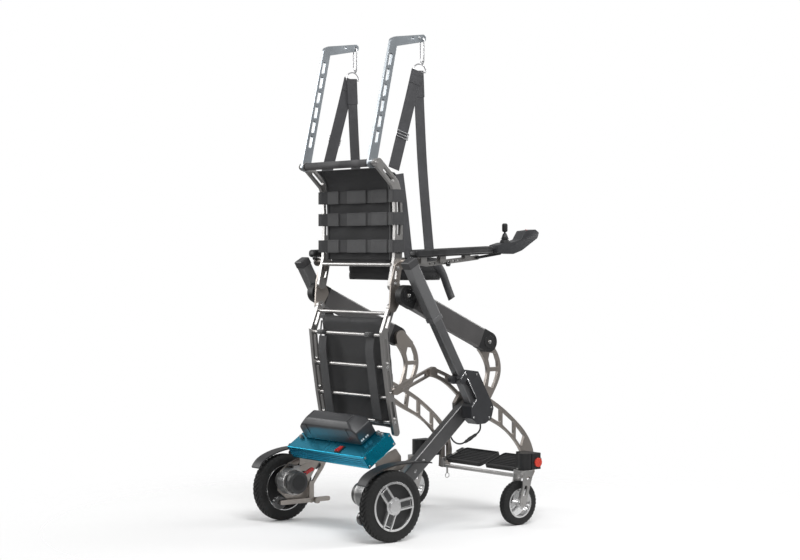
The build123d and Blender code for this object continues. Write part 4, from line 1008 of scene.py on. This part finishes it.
def make_armrests(looks):
    """Padded arm tops with side seams, a black ball at the rear and a clamp knob below."""
    for side, sign in SIDES.items():
        pad = bevelled_copy(f"arm_cushion_{side}", f"armrest_pad_{side}", looks["vinyl"],
                            f"armrest_{side}", 0.006)
        work = bmesh.new()
        for across in (303.4, 344.6):
            add_rod(work, *side_line(sign * across, (132, 1055), (504, 1069.5)), 0.0016, sides=8)
        built(work, f"arm_seam_{side}", looks["piping"], f"armrest_{side}")
        knob = bmesh.new()
        bmesh.ops.create_uvsphere(knob, u_segments=24, v_segments=16, radius=0.011,
                                  matrix=Matrix.Translation(spot(sign * 312, 134, 1046)))
        add_rod(knob, spot(sign * 317, 300, 1024), spot(sign * 325, 300, 1024), 0.009)
        built(knob, f"arm_knobs_{side}", looks["gloss_black"], f"armrest_{side}")


def make_push_handle(looks):
    """Foam grip between the arms, silver collars and end caps."""
    work = bmesh.new()
    add_rod(work, spot(-204, *HANGER_PIVOT), spot(204, *HANGER_PIVOT), 0.0146, sides=40)
    built(work, "handle_grip", looks["grip"], "hanger")
    ends = bmesh.new()
    for sign in SIDES.values():
        for start, end, radius, end_radius in ((203, 235, 0.013, None), (235.4, 241, 0.015, 0.013),
                                               (205, 206.6, 0.0175, None)):
            add_rod(ends, spot(sign * start, *HANGER_PIVOT), spot(sign * end, *HANGER_PIVOT), radius,
                    sides=40, end_radius=end_radius)
        add_bolt(ends, spot(sign * 241, *HANGER_PIVOT), (sign, 0, 0), 0.005)
    piece = built(ends, "handle_ends", looks["silver"], "hanger", smooth=False)
    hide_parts("push_handle")


def make_battery(looks):
    """Bevelled battery case with end-cap seams and a gauge."""
    bevelled_copy("battery_case", "battery", looks["case"], "battery", 0.006)
    slope = Matrix.Rotation(math.radians(BOX_SLOPE), 4, "X")
    seams = bmesh.new()
    for across in (118, -140):
        for along_slope, above, size in ((63.2, 44, (0.0022, 0.0016, 0.060)),
                                         (105, 90.2, (0.0022, 0.044, 0.0014))):
            add_box(seams, box_spot(across, along_slope, above), size, slope)
    built(seams, "battery_seams", looks["gloss_black"], "battery", smooth=False)
    gauge = bmesh.new()
    for number in range(4):
        add_box(gauge, box_spot(170.2, 74 + 9 * number + (6 if number > 1 else 0), 15),
                (0.001, 0.0065, 0.007), slope)
    built(gauge, "battery_gauge", looks["white"], "battery", smooth=False)


def make_box_details(looks):
    """Corner screws, sockets and rear grooves drawn in darker teal as painted shade on the control box,
    and the heads of its keys.
    """
    screws = bmesh.new()
    for sign in SIDES.values():
        for along_slope, depth in ((8, -8), (8, -47), (145, -8), (145, -47)):
            add_bolt(screws, box_spot(sign * 245, along_slope, depth), (sign, 0, 0), 0.0032)
    built(screws, "box_screws", looks["bright"], "chassis", smooth=False)
    slope = Matrix.Rotation(math.radians(BOX_SLOPE), 4, "X")
    normal = slope @ Vector((0, 0, 1))
    sockets = bmesh.new()
    for across, along_slope in ((196, 138), (222, 132), (-214, 60)):
        base = box_spot(across, along_slope, 0)
        add_rod(sockets, base, base + normal * 0.009, 0.009)
        add_rod(sockets, base + normal * 0.008, base + normal * 0.0135, 0.0065)
    built(sockets, "box_sockets", looks["silver"], "chassis", smooth=False)
    # The rear grooves are thin strips of darker teal: painted shade where the grooves sit.
    groove_shade_strips = bmesh.new()
    for number in range(4):
        add_box(groove_shade_strips, box_spot(0, -0.2, -12 - 9 * number), (0.488, 0.0012, 0.0016), slope)
    built(groove_shade_strips, "box_groove_painted_shade", looks["painted_groove_shade"], "chassis", smooth=False)
    keys = bmesh.new()
    left = box_spot(-256, 34, -26)
    for drop, size in ((0.0, 0.010), (0.026, 0.0085)):
        centre = left + Vector((-0.022, -0.004, -drop))
        add_rod(keys, centre - ACROSS * 0.0018, centre + ACROSS * 0.0018, size, sides=28)
    built(keys, "key_heads", looks["black"], "ignition_key", smooth=False)


def make_motor_details(looks):
    """Cap rims, cover screws and cable glands on the drive motors."""
    for side, sign in SIDES.items():
        work = bmesh.new()
        centre = spot(sign * 232, *MOTOR_AXIS)
        outward = Vector((-sign, 0, 0))
        add_rod(work, centre, centre + outward * 0.004, 0.0525, sides=56)
        for number in range(6):
            angle = math.radians(60 * number + 20)
            add_bolt(work, around(centre, 0, 0.0485, angle) + outward * 0.004, outward, 0.0032)
        built(work, f"motor_rim_{side}", looks["silver"], "chassis", smooth=False)
        face = bmesh.new()
        end = spot(sign * 198, *MOTOR_AXIS)
        add_rod(face, end, end + outward * 0.0018, 0.030, sides=48)
        gland = spot(sign * 258, MOTOR_AXIS[0] + 6, MOTOR_AXIS[1] + 58)
        add_rod(face, gland, gland + Vector((0, -0.012, 0.006)), 0.006)
        built(face, f"motor_cover_{side}", looks["black"], "chassis", smooth=False)


def make_housing_details(looks):
    """Chrome strips as painted highlights along the edges of the actuator housings, and case screws on the
    housings.
    """
    for side, sign in SIDES.items():
        face = sign * HOUSING_FACE
        places = [(HOUSING_FACE, place, 1)
                  for place in ((342, 606), (396, 604), (470, 474), (460, 436), (382, 440))]
        bolts(f"housing_screws_{side}", "actuator_base", looks, sign, places, 0.0028)
        # Thin chrome rods stand in for the bright highlight lines along the housing edges: painted
        # highlight.
        binding_and_highlight_rods = bmesh.new()
        for start, end in (((316, 590), (342, 618)), ((372, 480), (396, 508)), ((350, 590), (394, 516))):
            add_rod(binding_and_highlight_rods, spot(face, *start), spot(face, *end), 0.0016, sides=10)
        built(binding_and_highlight_rods, f"housing_painted_highlights_{side}", looks["chrome"], "actuator_base")


def make_beam_details(looks):
    """Pivot and frame bolts, and the round recess plates on the beam caps."""
    groups = (
        ("lift_bolts", "chassis", 0.0052,
         [(303, FRONT_PIVOT, 1), (250, LINK_PIVOT, -1), (264, (780, 190), 1), (264, (780, 260), 1),
          (276, (-40, 190), -1), (276, (130, 236), -1), (319, (140, 248), 1), (319, (180, 284), 1)]),
        ("hip_bolts", "backrest", 0.0055,
         [(304, HIP_PIVOT, 1), (243, (106, 950), 1), (243, (120, 1010), 1), (319, ARMREST_PIVOT, 1)]),
        ("seat_bolts", "seat", 0.0045,
         [(235, LINK_SEAT_PIVOT, 1), (235, (112, 425), 1), (235, (76, 636), 1), (217, SEAT_PIVOT, -1)]),
        ("hanger_bolts", "hanger", 0.0035, [(219, (HANGER_TIP_HOLE[0] - 18, HANGER_TIP_HOLE[1]), 1)]),
    )
    for side, sign in SIDES.items():
        for name, body, radius, places in groups:
            bolts(f"{name}_{side}", body, looks, sign, places, radius)
        work = bmesh.new()
        for pivot in (FRONT_PIVOT, HIP_PIVOT):
            centre = spot(sign * CAP_FACE, *pivot)
            add_rod(work, centre, centre + ACROSS * sign * 0.0012, 0.024, sides=48)
        built(work, f"cap_recess_{side}", looks["gloss_black"], "lift", smooth=False)


def make_controller(looks):
    """Bevelled controller case with three lamps, and the joystick's bellows and knob."""
    bevelled_copy("controller_case", "joystick_box", looks["case"], "armrest_right", 0.003)
    lights = bmesh.new()
    for number in range(3):
        centre = spot(318 + 8 * number, 700 - 3 * number, 1157 - 1.2 * number)
        add_rod(lights, centre, centre + Vector((0, -0.0003, 0.0016)), 0.0021, sides=12)
    built(lights, "controller_lights", looks["red"], "armrest_right")
    bellows = bmesh.new()
    base = spot(JOYSTICK_X, *JOYSTICK_PIVOT)
    for number in range(4):
        low = base + Vector((0, 0, 0.017 + 0.0035 * number))
        add_rod(bellows, low, low + Vector((0, 0, 0.0034)), 0.0165 - 0.0028 * number, sides=32,
                end_radius=0.0140 - 0.0028 * number)
    built(bellows, "stick_bellows", looks["rubber"], "joystick_stick")
    bevelled_copy("stick_knob", "joystick_stick", looks["black"], "joystick_stick", 0.0008)


def make_footplate_grip(looks):
    """Raised grip ribs on the footplates."""
    slope = Matrix.Rotation(math.radians(FOOTPLATE_SLOPE), 4, "X")
    for side, sign in SIDES.items():
        work = bmesh.new()
        for number in range(8):
            along = (12 + 13.5 * number) / 1000
            centre = spot(sign * 122, *FOOTPLATE_HINGE) + slope @ Vector((0, along, 0.0006))
            add_box(work, centre, (0.186, 0.004, 0.0016), slope)
        built(work, f"footplate_ribs_{side}", looks["rubber"], f"footplate_{side}",
              smooth=False)


def paint_cad(looks):
    """Gives every CAD piece that stays visible its own finish."""
    finishes = {
        "lower_beams": "lower_beam", "frame_brackets": "titanium", "side_frames": "titanium",
        "caster_heads": "black", "side_reflectors": "reflector", "footrest_frame": "silver",
        "strut_rods": "chrome", "strut_shrouds": "shroud", "drive_motors": "motor",
        "fenders": "fender", "control_box": "blue_case", "control_board": "board",
        "switch_bezels": "black", "power_rocker": "red", "ignition_key": "black", "battery": "case",
        "actuator_cable": "rubber", "cable_connector": "black", "lift_beams": "beam",
        "beam_caps": "black", "actuator_inner_tubes": "tube", "lead_screws": "chrome",
        "actuator_outer_tubes": "outer_tube", "motor_housings": "case", "back_frame": "silver",
        "hip_plates": "titanium", "back_cushion": "cushion", "back_bands": "band",
        "hanger_arms": "pale_blue", "push_handle": "silver", "harness_clips": "chrome",
        "shoulder_straps": "strap", "harness_vest": "belt", "seat_frame": "silver",
        "seat_cushion": "cushion", "seat_straps": "band", "seat_links": "titanium",
        "joystick_box": "case", "joystick_boot": "rubber", "joystick_stick": "black",
    }
    for side in SIDES:
        finishes.update({
            f"clutch_lever_{side}": "red", f"rear_tyre_{side}": "tyre", f"rear_rim_{side}": "bright",
            f"caster_fork_{side}": "silver", f"caster_tyre_{side}": "tyre",
            f"caster_rim_{side}": "bright", f"anti_tip_wheel_{side}": "gloss_black",
            f"footplate_{side}": "black", f"armrest_bracket_{side}": "silver",
            f"armrest_pad_{side}": "vinyl",
        })
    for node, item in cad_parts.items():
        item.data.materials.clear()
        item.data.materials.append(looks[finishes[node]])


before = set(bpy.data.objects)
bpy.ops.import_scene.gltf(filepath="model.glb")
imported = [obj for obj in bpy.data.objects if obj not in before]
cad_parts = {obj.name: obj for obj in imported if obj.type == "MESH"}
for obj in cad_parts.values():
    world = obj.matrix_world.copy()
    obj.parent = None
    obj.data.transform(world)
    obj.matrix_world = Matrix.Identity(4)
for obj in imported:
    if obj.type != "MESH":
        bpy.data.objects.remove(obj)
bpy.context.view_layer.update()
make_camera()
looks = make_materials()
make_cable(looks)
make_studio()
paint_cad(looks)
make_tyres(looks)
make_wheel_details(looks)
make_back_cushion(looks)
make_seat_cushion(looks)
make_back_bands(looks)
make_seat_straps(looks)
make_harness(looks)
make_belt(looks)
make_clips(looks)
make_armrests(looks)
make_push_handle(looks)
make_battery(looks)
make_box_details(looks)
make_motor_details(looks)
make_housing_details(looks)
make_beam_details(looks)
make_controller(looks)
make_footplate_grip(looks)
